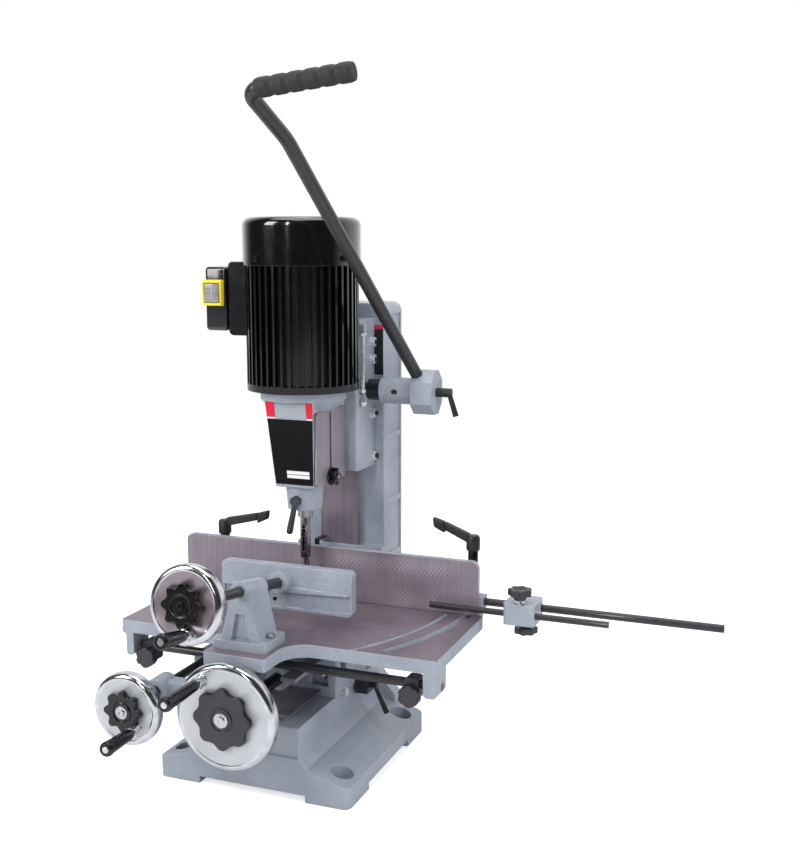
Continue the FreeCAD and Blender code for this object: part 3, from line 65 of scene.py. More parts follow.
def set_camera():
    """The view from ahead and to the right."""
    lens = bpy.data.cameras.new("view")
    lens.lens = 52.82
    lens.sensor_width = 36.0
    lens.sensor_fit = "HORIZONTAL"
    camera = bpy.data.objects.new("view", lens)
    camera.location = (0.82647, -1.64609, 0.830)
    camera.rotation_euler = (math.radians(90 - 9.14), 0, math.radians(21.39))
    bpy.context.scene.collection.objects.link(camera)
    bpy.context.scene.camera = camera


def soft_box(name, place, aim, size, power):
    """A rectangular lamp that faces the aim."""
    lamp = bpy.data.lights.new(name, "AREA")
    lamp.shape = "RECTANGLE"
    lamp.size, lamp.size_y = size
    lamp.energy = power
    piece = bpy.data.objects.new(name, lamp)
    way = [b - a for a, b in zip(place, aim)]
    flat = math.hypot(way[0], way[1])
    piece.location = place
    piece.rotation_euler = (math.atan2(flat, -way[2]), 0, math.atan2(way[1], way[0]) - math.pi / 2)
    bpy.context.scene.collection.objects.link(piece)
    return piece


def set_studio():
    """Soft boxes round the machine. Polished faces see a dark room before it and a white one behind."""
    middle = (0.05, 0.0, 0.45)
    soft_box("left_box", (-1.5, -1.9, 1.7), middle, (0.9, 1.6), 38)
    soft_box("front_strip", (-0.05, -2.6, 1.7), middle, (0.10, 1.6), 16)
    right = soft_box("right_box", (2.4, -0.6, 1.4), middle, (1.0, 1.6), 28)
    right.visible_glossy = False
    soft_box("top_box", (0.0, -0.1, 2.6), middle, (1.8, 1.6), 24)
    world = bpy.data.worlds.new("studio")
    bpy.context.scene.world = world
    world.use_nodes = True
    tree = world.node_tree
    tree.nodes.clear()
    add, link = tree.nodes.new, tree.links.new

    def glow(colour, strength):
        node = add("ShaderNodeBackground")
        node.inputs["Color"].default_value = colour
        node.inputs["Strength"].default_value = strength
        return node.outputs[0]

    def larger(a, b):
        node = add("ShaderNodeMath")
        node.operation = "MAXIMUM"
        link(a, node.inputs[0])
        link(b, node.inputs[1])
        return node.outputs[0]

    def either(share, a, b):
        node = add("ShaderNodeMixShader")
        link(share, node.inputs["Fac"])
        link(a, node.inputs[1])
        link(b, node.inputs[2])
        return node.outputs[0]

    way = add("ShaderNodeSeparateXYZ")
    link(add("ShaderNodeTexCoord").outputs["Generated"], way.inputs[0])
    behind = add("ShaderNodeMapRange")
    behind.interpolation_type = "SMOOTHSTEP"
    behind.inputs["From Min"].default_value = -0.10
    behind.inputs["From Max"].default_value = 0.65
    link(way.outputs["Y"], behind.inputs["Value"])
    ray = add("ShaderNodeLightPath").outputs
    white_seen = larger(ray["Is Camera Ray"], behind.outputs["Result"])
    sharp = larger(ray["Is Camera Ray"], larger(ray["Is Glossy Ray"], ray["Is Transmission Ray"]))
    seen = either(white_seen, glow((0.9, 0.92, 1.0, 1), 0.05), glow((1, 1, 1, 1), 1.0))
    out = add("ShaderNodeOutputWorld")
    link(either(sharp, glow((0.93, 0.95, 1.0, 1), 0.54), seen), out.inputs["Surface"])


def set_floor():
    """White paper that keeps the machine's shadow and fades into the backdrop."""
    bpy.ops.object.select_all(action="DESELECT")
    bpy.ops.mesh.primitive_plane_add(size=14, location=(0, 0, -0.0005))
    floor = bpy.context.object
    floor.name = "floor"
    finish = bpy.data.materials.new("floor")
    finish.use_nodes = True
    tree = finish.node_tree
    tree.nodes.clear()
    add, link = tree.nodes.new, tree.links.new
    paper = add("ShaderNodeBsdfDiffuse")
    paper.inputs["Color"].default_value = (0.80, 0.80, 0.80, 1)
    glow = add("ShaderNodeEmission")
    glow.inputs["Strength"].default_value = 0.60
    both = add("ShaderNodeAddShader")
    link(paper.outputs[0], both.inputs[0])
    link(glow.outputs[0], both.inputs[1])
    shown = add("ShaderNodeMixShader")
    link(add("ShaderNodeLightPath").outputs["Is Camera Ray"], shown.inputs["Fac"])
    link(paper.outputs[0], shown.inputs[1])
    link(both.outputs[0], shown.inputs[2])
    link(shown.outputs[0], add("ShaderNodeOutputMaterial").inputs["Surface"])
    floor.data.materials.append(finish)


# Finishes

def rgb(red, green, blue):
    """A colour given as on a paint card, 0 to 255, as Blender's linear values."""
    def line(value):
        share = value / 255
        return share / 12.92 if share <= 0.04045 else ((share + 0.055) / 1.055) ** 2.4
    return (line(red), line(green), line(blue), 1)


FLOAT, VECTOR = "NodeSocketFloat", "NodeSocketVector"


def lifted(colour, step):
    """A colour card made paler by a step, or darker by one below 0."""
    return rgb(*(min(255, max(0, value + step)) for value in colour))


def new_group(name, inputs, outputs):
    group = bpy.data.node_groups.new(name, "ShaderNodeTree")
    for label, kind, value in inputs:
        group.interface.new_socket(label, in_out="INPUT", socket_type=kind).default_value = value
    for label, kind in outputs:
        group.interface.new_socket(label, in_out="OUTPUT", socket_type=kind)
    way_in = group.nodes.new("NodeGroupInput")
    way_out = group.nodes.new("NodeGroupOutput")
    return group, way_in, way_out


def noise_in(group, vector, detail, scale=None):
    """Noise in a group. Its scale is 1 unless a socket gives it."""
    node = group.nodes.new("ShaderNodeTexNoise")
    node.inputs["Detail"].default_value = detail
    node.inputs["Scale"].default_value = 1.0
    group.links.new(vector, node.inputs["Vector"])
    if scale is not None:
        group.links.new(scale, node.inputs["Scale"])
    return node.outputs["Fac"]


def range_in(group, source, low, high):
    node = group.nodes.new("ShaderNodeMapRange")
    node.inputs["From Min"].default_value = low
    node.inputs["From Max"].default_value = high
    group.links.new(source, node.inputs["Value"])
    return node.outputs["Result"]


def edge_wear_and_highlight_group():
    """Rounded normals, and a mask that is 1 on outer edges and 0 on flat faces, used for edge wear and for a
    painted highlight on edges.
    """
    group, start, end = new_group("edge_wear_and_highlight", [("Width", FLOAT, 0.001), ("Breakup", FLOAT, 90.0)],
                                  [("Mask", FLOAT), ("Normal", VECTOR)])
    add, link = group.nodes.new, group.links.new
    soft = add("ShaderNodeBevel")
    soft.samples = 6
    link(start.outputs["Width"], soft.inputs["Radius"])
    same = add("ShaderNodeVectorMath")
    same.operation = "DOT_PRODUCT"
    link(soft.outputs["Normal"], same.inputs[0])
    link(add("ShaderNodeNewGeometry").outputs["Normal"], same.inputs[1])
    noise = noise_in(group, add("ShaderNodeTexCoord").outputs["Object"], 4, start.outputs["Breakup"])
    times = add("ShaderNodeMath")
    times.operation = "MULTIPLY"
    link(range_in(group, same.outputs["Value"], 0.985, 0.80), times.inputs[0])
    link(range_in(group, noise, 0.35, 0.65), times.inputs[1])
    link(times.outputs[0], end.inputs["Mask"])
    link(soft.outputs["Normal"], end.inputs["Normal"])
    return group


def cast_grain_group():
    """Height of a sand-cast skin under paint, slow patches of tone, and fine specks."""
    group, start, end = new_group("cast_grain",
                                  [("Grain", FLOAT, 420.0), ("Waves", FLOAT, 38.0), ("Patches", FLOAT, 9.0)],
                                  [("Height", FLOAT), ("Tone", FLOAT), ("Speck", FLOAT)])
    add, link = group.nodes.new, group.links.new
    coords = add("ShaderNodeTexCoord").outputs["Object"]
    grain = noise_in(group, coords, 2, start.outputs["Grain"])
    waves = noise_in(group, coords, 3, start.outputs["Waves"])
    patches = noise_in(group, coords, 3, start.outputs["Patches"])
    height = add("ShaderNodeMath")
    height.operation = "MULTIPLY_ADD"
    height.inputs[1].default_value = 2.2
    link(waves, height.inputs[0])
    link(grain, height.inputs[2])
    link(height.outputs[0], end.inputs["Height"])
    link(patches, end.inputs["Tone"])
    link(grain, end.inputs["Speck"])
    return group


def tool_marks_group():
    """Fine straight lines left by a grinder, along one way."""
    group, start, end = new_group("tool_marks",
                                  [("Stretch", VECTOR, (3.0, 900.0, 900.0)), ("Tone scale", FLOAT, 22.0)],
                                  [("Height", FLOAT), ("Tone", FLOAT)])
    add, link = group.nodes.new, group.links.new
    coords = add("ShaderNodeTexCoord").outputs["Object"]
    stretch = add("ShaderNodeVectorMath")
    stretch.operation = "MULTIPLY"
    link(coords, stretch.inputs[0])
    link(start.outputs["Stretch"], stretch.inputs[1])
    link(noise_in(group, stretch.outputs["Vector"], 3), end.inputs["Height"])
    link(noise_in(group, coords, 4, start.outputs["Tone scale"]), end.inputs["Tone"])
    return group


GROUPS = {"edge": edge_wear_and_highlight_group(), "cast": cast_grain_group(), "marks": tool_marks_group()}


class Finish:
    """A material with one Principled shader, and short ways to wire nodes to it."""

    def __init__(self, name, colour, roughness=0.5, metallic=0.0, coat=0.0, specular=0.5):
        self.material = bpy.data.materials.new(name)
        self.material.use_nodes = True
        self.tree = self.material.node_tree
        self.tree.nodes.clear()
        self.out = self.add("ShaderNodeOutputMaterial")
        self.shader = self.add("ShaderNodeBsdfPrincipled")
        self.shader.inputs["Base Color"].default_value = colour
        self.shader.inputs["Roughness"].default_value = roughness
        self.shader.inputs["Metallic"].default_value = metallic
        self.shader.inputs["Coat Weight"].default_value = coat
        self.shader.inputs["Coat Roughness"].default_value = 0.08
        self.shader.inputs["Specular IOR Level"].default_value = specular
        self.link(self.shader.outputs[0], self.out.inputs["Surface"])
        self.material.diffuse_color = colour

    def add(self, kind, **values):
        node = self.tree.nodes.new(kind)
        for key, value in values.items():
            setattr(node, key, value)
        return node

    def link(self, start, end):
        self.tree.links.new(start, end)

    def group(self, key, **values):
        node = self.add("ShaderNodeGroup")
        node.node_tree = GROUPS[key]
        for label, value in values.items():
            node.inputs[label.replace("_", " ")].default_value = value
        return node

    def range(self, source, low, high, start=0.0, end=1.0):
        node = self.add("ShaderNodeMapRange")
        node.inputs["From Min"].default_value = low
        node.inputs["From Max"].default_value = high
        node.inputs["To Min"].default_value = start
        node.inputs["To Max"].default_value = end
        self.link(source, node.inputs["Value"])
        return node.outputs["Result"]

    def feed(self, socket, value):
        """Links an output to the socket, or sets the socket to a plain value."""
        if hasattr(value, "is_output"):
            self.link(value, socket)
        else:
            socket.default_value = value

    def math(self, kind, a, b):
        node = self.add("ShaderNodeMath", operation=kind)
        self.feed(node.inputs[0], a)
        self.feed(node.inputs[1], b)
        return node.outputs[0]

    def times(self, a, b):
        return self.math("MULTIPLY", a, b)

    def mixed(self, share, a, b):
        """A colour between a and b."""
        node = self.add("ShaderNodeMix", data_type="RGBA")
        for key, value in (("Factor", share), (6, a), (7, b)):
            self.feed(node.inputs[key], value)
        return node.outputs[2]

    def blend(self, share, a, b):
        """A number between a and b."""
        node = self.add("ShaderNodeMix", data_type="FLOAT")
        for key, value in (("Factor", share), (2, a), (3, b)):
            self.feed(node.inputs[key], value)
        return node.outputs[0]

    def bump(self, height, strength, distance, normal=None):
        node = self.add("ShaderNodeBump")
        node.inputs["Strength"].default_value = strength
        node.inputs["Distance"].default_value = distance
        self.link(height, node.inputs["Height"])
        if normal is not None:
            self.link(normal, node.inputs["Normal"])
        self.link(node.outputs[0], self.shader.inputs["Normal"])
        return node.outputs[0]

    def colour(self, source):
        self.link(source, self.shader.inputs["Base Color"])

    def rough(self, source):
        self.link(source, self.shader.inputs["Roughness"])

    def toned(self, group, a, b):
        """From one colour to the other in the slow patches of a group."""
        return self.mixed(self.range(group.outputs["Tone"], 0.3, 0.7), a, b)

    def rough_by_tone(self, group, a, b):
        self.rough(self.range(group.outputs["Tone"], 0.3, 0.7, a, b))

    def rough_by_height(self, cast, a, b):
        self.rough(self.range(cast.outputs["Height"], 0.9, 2.2, a, b))

    def place(self):
        coords = self.add("ShaderNodeTexCoord")
        parts = self.add("ShaderNodeSeparateXYZ")
        self.link(coords.outputs["Object"], parts.inputs[0])
        return parts.outputs

    def facing(self, axis):
        flat = self.add("ShaderNodeNewGeometry")
        parts = self.add("ShaderNodeSeparateXYZ")
        self.link(flat.outputs["Normal"], parts.inputs[0])
        return parts.outputs[axis]


PAINT = rgb(171, 178, 189)
PAINT_DARK = rgb(140, 147, 160)
PAINT_EDGE_WEAR_AND_HIGHLIGHT = rgb(214, 219, 224)
# Paler colour for edges: worn paint and a painted highlight.
PAINT_SPECK = rgb(112, 119, 133)
IRON = rgb(140, 128, 138)
IRON_DARK = rgb(112, 102, 111)
IRON_PALE = rgb(172, 163, 172)
IRON_SHINE = rgb(208, 201, 209)
CAST_BUMP = (0.75, 0.0014)


def paint_on(finish):
    """Blue-grey enamel over a sand casting, paler on edges, where the paint is worn and where a highlight is
    painted.
    """
    cast = finish.group("cast")
    edge = finish.group("edge", Width=0.0024, Breakup=55.0)
    tone = finish.toned(cast, PAINT_DARK, PAINT)
    tone = finish.mixed(finish.range(cast.outputs["Speck"], 0.42, 0.64, 0.0, 0.24), tone, PAINT_SPECK)
    # Pale edges: worn paint and a painted highlight along every outer edge.
    colour = finish.mixed(finish.times(edge.outputs["Mask"], 0.75), tone, PAINT_EDGE_WEAR_AND_HIGHLIGHT)
    rough = finish.range(cast.outputs["Height"], 0.9, 2.2, 0.30, 0.48)
    return colour, rough, cast, edge


def grey_paint():
    finish = Finish("grey_enamel", PAINT, 0.38, coat=0.25)
    colour, rough, cast, edge = paint_on(finish)
    finish.colour(colour)
    finish.rough(rough)
    finish.bump(cast.outputs["Height"], *CAST_BUMP, edge.outputs["Normal"])
    return finish.material


def part_machined(name, mask_of, stretch, swirl=False, lift=0.0):
    """Grey enamel with one ground face, picked out by where the face is and which way it looks."""
    finish = Finish(name, PAINT, 0.38, coat=0.0)
    colour, rough, cast, edge = paint_on(finish)
    marks = finish.group("marks", Stretch=stretch)
    ground = finish.mixed(finish.range(marks.outputs["Tone"], 0.32, 0.68), IRON_DARK, IRON)
    lines = finish.range(marks.outputs["Height"], 0.45, 0.75, lift, 0.35 + lift)
    ground = finish.mixed(lines, ground, IRON_PALE)
    height = marks.outputs["Height"]
    if swirl:
        swirls = swirl_marks_and_sheen(finish)
        # The mill's arcs are painted paler: real marks with a painted sheen, brightest in bands near the
        # fence's top and foot.
        ground = finish.mixed(finish.times(swirls, 0.46), ground, IRON_SHINE)
        height = finish.math("ADD", height, finish.times(swirls, 1.5))
    mask = mask_of(finish)
    finish.colour(finish.mixed(mask, colour, ground))
    finish.link(finish.times(mask, 0.45), finish.shader.inputs["Metallic"])
    smooth = finish.range(marks.outputs["Tone"], 0.3, 0.7, 0.34, 0.48)
    finish.rough(finish.blend(mask, rough, smooth))
    relief = finish.blend(mask, cast.outputs["Height"], finish.times(height, 0.12))
    finish.bump(relief, *CAST_BUMP, edge.outputs["Normal"])
    return finish.material


def swirl_marks_and_sheen(finish):
    """Crossing arcs of a face mill with a painted sheen on them, brightest in two bands near the top and the
    foot of the fence.
    """
    times = finish.times
    x, _, z = finish.place()[:3]
    cloud = finish.add("ShaderNodeTexNoise")
    cloud.inputs["Scale"].default_value = 14.0
    coords = finish.add("ShaderNodeTexCoord")
    finish.link(coords.outputs["Object"], cloud.inputs["Vector"])
    drift = finish.range(cloud.outputs["Fac"], 0.3, 0.7, -0.0012, 0.0012)
    level = finish.math("SUBTRACT", z, 0.291)
    curve = times(finish.math("POWER", finish.math("ABSOLUTE", level, 0.0), 2.0), 20.0)
    bow = times(curve, finish.math("SIGN", level, 0.0))
    arcs = []
    for turn in (1, -1):
        shifted = finish.math("ADD", finish.math("ADD", x, times(bow, turn)), drift)
        wave = finish.math("SINE", times(shifted, 860.0), 0.0)
        arcs.append(finish.range(wave, 0.25, 0.95))
    total = finish.math("ADD", *arcs)
    high = times(finish.range(z, 0.300, 0.314), finish.range(z, 0.335, 0.322))
    band = finish.math("ADD", high, finish.range(z, 0.284, 0.262))
    band = times(times(band, finish.range(x, -0.05, 0.06)), finish.range(x, 0.262, 0.215))
    patch = finish.range(cloud.outputs["Fac"], 0.25, 0.6, 0.45, 1.0)
    return times(times(total, patch), finish.math("ADD", band, 0.06))


def table_face(finish):
    """The flat top of the table, less the painted bottoms of its grooves."""
    up = finish.range(finish.facing("Z"), 0.90, 0.97)
    level = finish.range(finish.place()["Z"], 0.2462, 0.2467)
    return finish.times(up, level)


def fence_face(finish):
    """The front of the fence."""
    front = finish.range(finish.facing("Y"), -0.90, -0.97)
    level = finish.range(finish.place()["Y"], 0.0626, 0.0622)
    return finish.times(front, level)


def jaw_face(finish):
    """The back of the vise's jaw, which meets the work."""
    back = finish.range(finish.facing("Y"), 0.90, 0.97)
    level = finish.range(finish.place()["Y"], -0.0648, -0.0642)
    return finish.times(back, level)


def base_way(finish):
    """The ground ways on top of the base, ahead of the pedestal."""
    x, y, z = finish.place()[:3]
    width = finish.range(finish.math("ABSOLUTE", x, 0.0), 0.0605, 0.0600)
    ahead = finish.times(width, finish.range(y, 0.1445, 0.1440))
    return finish.times(ahead, finish.range(z, 0.1145, 0.1148))


def rail_way(finish):
    """The top of the saddle's rails."""
    return finish.range(finish.place()["Z"], 0.2052, 0.2056)


def ground_iron(name, stretch, pale=0.0):
    finish = Finish(name, IRON, 0.40, metallic=0.45)
    marks = finish.group("marks", Stretch=stretch)
    edge = finish.group("edge", Width=0.0008, Breakup=120.0)
    ground = finish.toned(marks, IRON_DARK, IRON)
    lines = finish.range(marks.outputs["Height"], 0.4, 0.8, pale, 0.5 + pale)
    ground = finish.mixed(lines, ground, IRON_PALE)
    # Paler edges: wear and a painted highlight on the ground iron's edges.
    finish.colour(finish.mixed(edge.outputs["Mask"], ground, rgb(182, 176, 180)))
    finish.rough_by_tone(marks, 0.33, 0.48)
    finish.bump(marks.outputs["Height"], 0.25, 0.0003, edge.outputs["Normal"])
    return finish.material


def bolts_and_pointer():
    """Plated bolts, and the blackened pointer that stands beside the column's foot."""
    finish = Finish("tilt_bolts", rgb(150, 152, 158), 0.30, metallic=0.9)
    marks = finish.group("marks", Stretch=(500.0, 500.0, 500.0), Tone_scale=60.0)
    edge = finish.group("edge", Width=0.0005, Breakup=150.0)
    x, _, z = finish.place()[:3]
    pointer = finish.times(finish.range(x, -0.0235, -0.0240), finish.range(z, 0.2605, 0.2610))
    steel = finish.toned(marks, rgb(140, 142, 148), rgb(176, 178, 184))
    finish.colour(finish.mixed(pointer, steel, rgb(14, 13, 16)))
    finish.link(finish.range(pointer, 0.0, 1.0, 0.9, 0.0), finish.shader.inputs["Metallic"])
    finish.rough_by_tone(marks, 0.24, 0.36)
    finish.bump(marks.outputs["Height"], 0.08, 0.0002, edge.outputs["Normal"])
    return finish.material


def gloss_black(name="black_enamel", colour=(6, 5, 8), rough=0.14, coat=0.9, width=0.0008):
    finish = Finish(name, rgb(*colour), rough, coat=coat)
    cast = finish.group("cast", Grain=240.0, Waves=60.0, Patches=14.0)
    edge = finish.group("edge", Width=width, Breakup=80.0)
    tone = finish.toned(cast, rgb(*colour), lifted(colour, 5))
    # Grey on edges: wear and a painted highlight on the black enamel's edges.
    finish.colour(finish.mixed(finish.times(edge.outputs["Mask"], 0.30), tone, rgb(86, 88, 98)))
    finish.rough_by_height(cast, rough, rough + 0.10)
    finish.bump(cast.outputs["Height"], 0.10, 0.0004, edge.outputs["Normal"])
    return finish.material


def moulded(name, colour, rough=0.42, grain=700.0, width=0.0007, edge_wear_and_sheen=0.25, lift=22):
    """Moulded plastic with a fine spark-eroded skin, a touch paler on its edges from wear and a painted
    highlight.
    """
    finish = Finish(name, rgb(*colour), rough)
    cast = finish.group("cast", Grain=grain, Waves=90.0, Patches=20.0)
    edge = finish.group("edge", Width=width, Breakup=110.0)
    tone = finish.toned(cast, rgb(*colour), lifted(colour, 8))
    # Paler edges: wear and a painted highlight.
    worn_and_lit = finish.times(edge.outputs["Mask"], edge_wear_and_sheen)
    finish.colour(finish.mixed(worn_and_lit, tone, lifted(colour, lift + 24)))
    finish.rough_by_height(cast, rough - 0.06, rough + 0.08)
    finish.bump(cast.outputs["Height"], 0.18, 0.0003, edge.outputs["Normal"])
    return finish.material


def bright(name, colour, rough, stretch=(600.0, 600.0, 600.0), spread=0.10, width=0.0005, metallic=1.0):
    """Bare or plated steel, with faint lines of its making."""
    finish = Finish(name, rgb(*colour), rough, metallic=metallic)
    marks = finish.group("marks", Stretch=stretch, Tone_scale=60.0)
    edge = finish.group("edge", Width=width, Breakup=150.0)
    finish.colour(finish.toned(marks, lifted(colour, -26), rgb(*colour)))
    finish.rough_by_tone(marks, max(0.03, rough - spread / 2), rough + spread)
    finish.bump(marks.outputs["Height"], 0.08, 0.0002, edge.outputs["Normal"])
    return finish.material


def name_plate():
    """A printed plate: a red band with a grey field, a white rule, and black below with two white boxes."""
    finish = Finish("printed_plate", rgb(6, 5, 7), 0.60, specular=0.18)
    x, _, z = finish.place()[:3]
    cast = finish.group("cast", Grain=900.0, Waves=60.0, Patches=16.0)

    def inside(value, low, high, soft=0.0003):
        above = finish.range(value, low - soft, low + soft)
        return finish.times(above, finish.range(value, high + soft, high - soft))

    def panel(left, right, low, high):
        return finish.times(inside(x, left, right), inside(z, low, high))

    black = finish.toned(cast, rgb(5, 4, 6), rgb(12, 11, 13))
    colour = finish.mixed(finish.range(z, 0.5590, 0.5596), black, rgb(222, 36, 62))
    colour = finish.mixed(inside(z, 0.5565, 0.5590), colour, rgb(232, 232, 234))
    colour = finish.mixed(panel(-0.0255, 0.0300, 0.5570, 0.5835), colour, rgb(88, 92, 104))
    colour = finish.mixed(panel(-0.0248, 0.0293, 0.5577, 0.5828), colour, rgb(160, 167, 174))
    for low, high in ((0.4600, 0.4655), (0.4665, 0.4720)):
        colour = finish.mixed(panel(-0.0120, 0.0275, low, high), colour, rgb(233, 233, 232))
    finish.colour(colour)
    finish.rough_by_height(cast, 0.54, 0.66)
    finish.bump(cast.outputs["Height"], 0.05, 0.0002)
    return finish.material


def side_plate():
    finish = Finish("bare_label", rgb(24, 22, 24), 0.4)
    z = finish.place()["Z"]
    cast = finish.group("cast", Grain=900.0, Waves=80.0, Patches=25.0)
    black = finish.toned(cast, rgb(20, 18, 20), rgb(34, 31, 33))
    finish.colour(finish.mixed(finish.range(z, 0.6868, 0.6872), black, rgb(214, 48, 66)))
    finish.rough_by_height(cast, 0.34, 0.46)
    finish.bump(cast.outputs["Height"], 0.05, 0.0002)
    return finish.material


def clear_flap():
    """Smoke-grey see-through flap, milky from scuffing."""
    finish = Finish("smoked_flap", rgb(146, 141, 138), 0.28, coat=0.2)
    cast = finish.group("cast", Grain=500.0, Waves=110.0, Patches=45.0)
    clouds = finish.range(cast.outputs["Tone"], 0.35, 0.65)
    finish.colour(finish.mixed(clouds, rgb(122, 117, 115), rgb(160, 155, 152)))
    finish.rough_by_height(cast, 0.20, 0.36)
    finish.bump(cast.outputs["Height"], 0.08, 0.0002)
    return finish.material


def polished_face(name, colour, rough, metallic, spread):
    """Turned and polished face of a wheel, a little clouded."""
    finish = Finish(name, rgb(*colour), rough, metallic=metallic)
    cast = finish.group("cast", Grain=800.0, Waves=30.0, Patches=18.0)
    edge = finish.group("edge", Width=0.0006, Breakup=150.0)
    finish.colour(finish.toned(cast, lifted(colour, -14), rgb(*colour)))
    finish.rough_by_tone(cast, rough, rough + spread)
    finish.bump(cast.outputs["Height"], 0.05, 0.0002, edge.outputs["Normal"])
    return finish.material


def make_finishes():
    return {
        "grey": grey_paint(),
        "table": part_machined("table_iron", table_face, (4.0, 700.0, 700.0)),
        "fence": part_machined("fence_iron", fence_face, (700.0, 700.0, 5.0), swirl=True, lift=0.22),
        "jaw": part_machined("jaw_iron", jaw_face, (5.0, 700.0, 700.0)),
        "base": part_machined("base_iron", base_way, (700.0, 4.0, 700.0)),
        "saddle": part_machined("saddle_iron", rail_way, (4.0, 700.0, 700.0)),
        "iron": ground_iron("ground_iron", (700.0, 700.0, 4.0)),
        "plate": ground_iron("brushed_cover", (700.0, 700.0, 5.0), pale=0.35),
        "gloss": gloss_black(),
        "shell": gloss_black("black_shell", (5, 5, 8), 0.08, 1.0, 0.0012),
        "bar": gloss_black("black_bar", (29, 28, 33), 0.34, 0.3, 0.0006),
        "black": moulded("black_moulding", (24, 23, 27)),
        "soft": moulded("soft_grip", (30, 29, 33), 0.62, grain=1200.0),
        "glossy_knob": moulded("glossy_black_moulding", (10, 10, 12), 0.16, grain=300.0, edge_wear_and_sheen=0.1),
        "satin_knob": moulded("satin_black_moulding", (47, 45, 50), 0.40, grain=900.0),
        "yellow": moulded("yellow_moulding", (252, 224, 52), 0.34, edge_wear_and_sheen=0.3, lift=0),
        "flap": clear_flap(),
        "bright": bright("bright_steel", (214, 214, 218), 0.22),
        "bolts": bolts_and_pointer(),
        "zinc": bright("zinc_plate", (232, 232, 236), 0.26, metallic=0.45),
        "chrome": bright("chrome", (220, 221, 225), 0.13, spread=0.05),
        "tool": bright("ground_tool_steel", (168, 164, 166), 0.22, stretch=(900.0, 900.0, 12.0)),
        "dark_steel": bright("blackened_steel", (58, 56, 60), 0.36),
        "face": polished_face("polished_face", (206, 209, 212), 0.30, 0.45, 0.06),
        "dull_face": polished_face("dull_face", (150, 139, 146), 0.26, 0.70, 0.06),
        "copper": bright("copper_winding", (150, 84, 48), 0.35),
        "front_plate": name_plate(),
        "side_plate": side_plate(),
    }


FINISH = make_finishes()

NODE_FINISH = {
    "base": "base_casting",
    "grey": "feed_bracket column_casting head_casting feed_hub rod_clamp vise_bracket",
    "iron": "column_way head_gib stop_plate",
    "dark_steel": "feed_rack table_rack table_pinion",
    "bright": "head_screws motor_bearings",
    "bolts": "tilt_bolts",
    "gloss": "motor_shell switch_box",
    "shell": "fan_cover",
    "copper": "stator",
    "tool": "rotor drill_chuck auger_bit chisel",
    "black": "cooling_fan cover_knob pinion_shaft hub_handle lock_block lock_lever fence_lever_left "
             "fence_lever_right small_star",
    "yellow": "switch_bezel",
    "flap": "switch_paddle",
    "plate": "chuck_cover",
    "satin_knob": "chisel_lever stop_left stop_right rod_knobs big_star",
    "zinc": "depth_stop_rod",
    "bar": "feed_lever stop_bar rear_rod front_rod vise_screw feed_screw",
    "soft": "feed_grip",
    "saddle": "saddle_casting",
    "table": "table_casting",
    "fence": "fence_plate",
    "jaw": "vise_pad",
    "chrome": "big_wheel small_wheel vise_wheel",
    "glossy_knob": "big_grip small_grip vise_star vise_grip",
}


def dress_nodes():
    for finish, names in NODE_FINISH.items():
        for name in names.split():
            nodes[name].data.materials.clear()
            nodes[name].data.materials.append(FINISH[finish])


# Ways of making a piece

def begin():
    if bpy.context.object and bpy.context.object.mode != "OBJECT":
        bpy.ops.object.mode_set(mode="OBJECT")
    bpy.ops.object.select_all(action="DESELECT")


def edit():
    bpy.ops.object.mode_set(mode="EDIT")
    bpy.context.tool_settings.mesh_select_mode = (False, False, True)


def corners_of(piece, chosen):
    """Goes to edit mode with only the chosen corners selected."""
    only(piece)
    for kind in (piece.data.polygons, piece.data.edges):
        kind.foreach_set("select", [False] * len(kind))
    for vertex in piece.data.vertices:
        vertex.select = chosen(vertex)
    bpy.context.tool_settings.mesh_select_mode = (True, False, False)
    bpy.ops.object.mode_set(mode="EDIT")


def move_corners(piece, chosen, shift):
    corners_of(piece, chosen)
    bpy.ops.transform.translate(value=shift)
    bpy.ops.object.mode_set(mode="OBJECT")


def drawn_out(rings, sides=64, lobes=0, depth=0.0):
    """A round piece drawn out along z, ring by ring, from (radius, height) pairs and closed at both ends.

    With lobes, its outline goes in by a share, depth, between them.
    """
    begin()
    radius, height = rings[0]
    bpy.ops.mesh.primitive_circle_add(vertices=sides, radius=radius, fill_type="NGON")
    if lobes:
        piece = bpy.context.object
        steps = sides // lobes
        for step in range(steps // 2 + 1):
            wave = (1 - math.cos(2 * math.pi * step / steps)) / 2
            share = 1 - depth * (wave + wave * wave * (3 - 2 * wave)) / 2
            corners_of(piece, lambda vertex: vertex.index % steps in (step, (steps - step) % steps))
            bpy.ops.transform.resize(value=(share, share, 1), center_override=(0, 0, 0))
            bpy.ops.object.mode_set(mode="OBJECT")
    edit()
    bpy.ops.mesh.select_all(action="SELECT")
    bpy.ops.transform.translate(value=(0, 0, height))
    for (inner, low), (outer, high) in zip(rings, rings[1:]):
        bpy.ops.mesh.extrude_region_move(TRANSFORM_OT_translate={"value": (0, 0, high - low)})
        share = outer / inner
        bpy.ops.transform.resize(value=(share, share, 1), center_override=(0, 0, high))
    bpy.ops.mesh.select_all(action="SELECT")
    bpy.ops.mesh.normals_make_consistent(inside=False)
    bpy.ops.object.mode_set(mode="OBJECT")
    return bpy.context.object


def block(size, place=(0, 0, 0)):
    begin()
    bpy.ops.mesh.primitive_cube_add(size=1, location=place)
    piece = bpy.context.object
    piece.scale = size
    bpy.ops.object.transform_apply(location=True, rotation=True, scale=True)
    return piece


def only(piece):
    begin()
    piece.select_set(True)
    bpy.context.view_layer.objects.active = piece


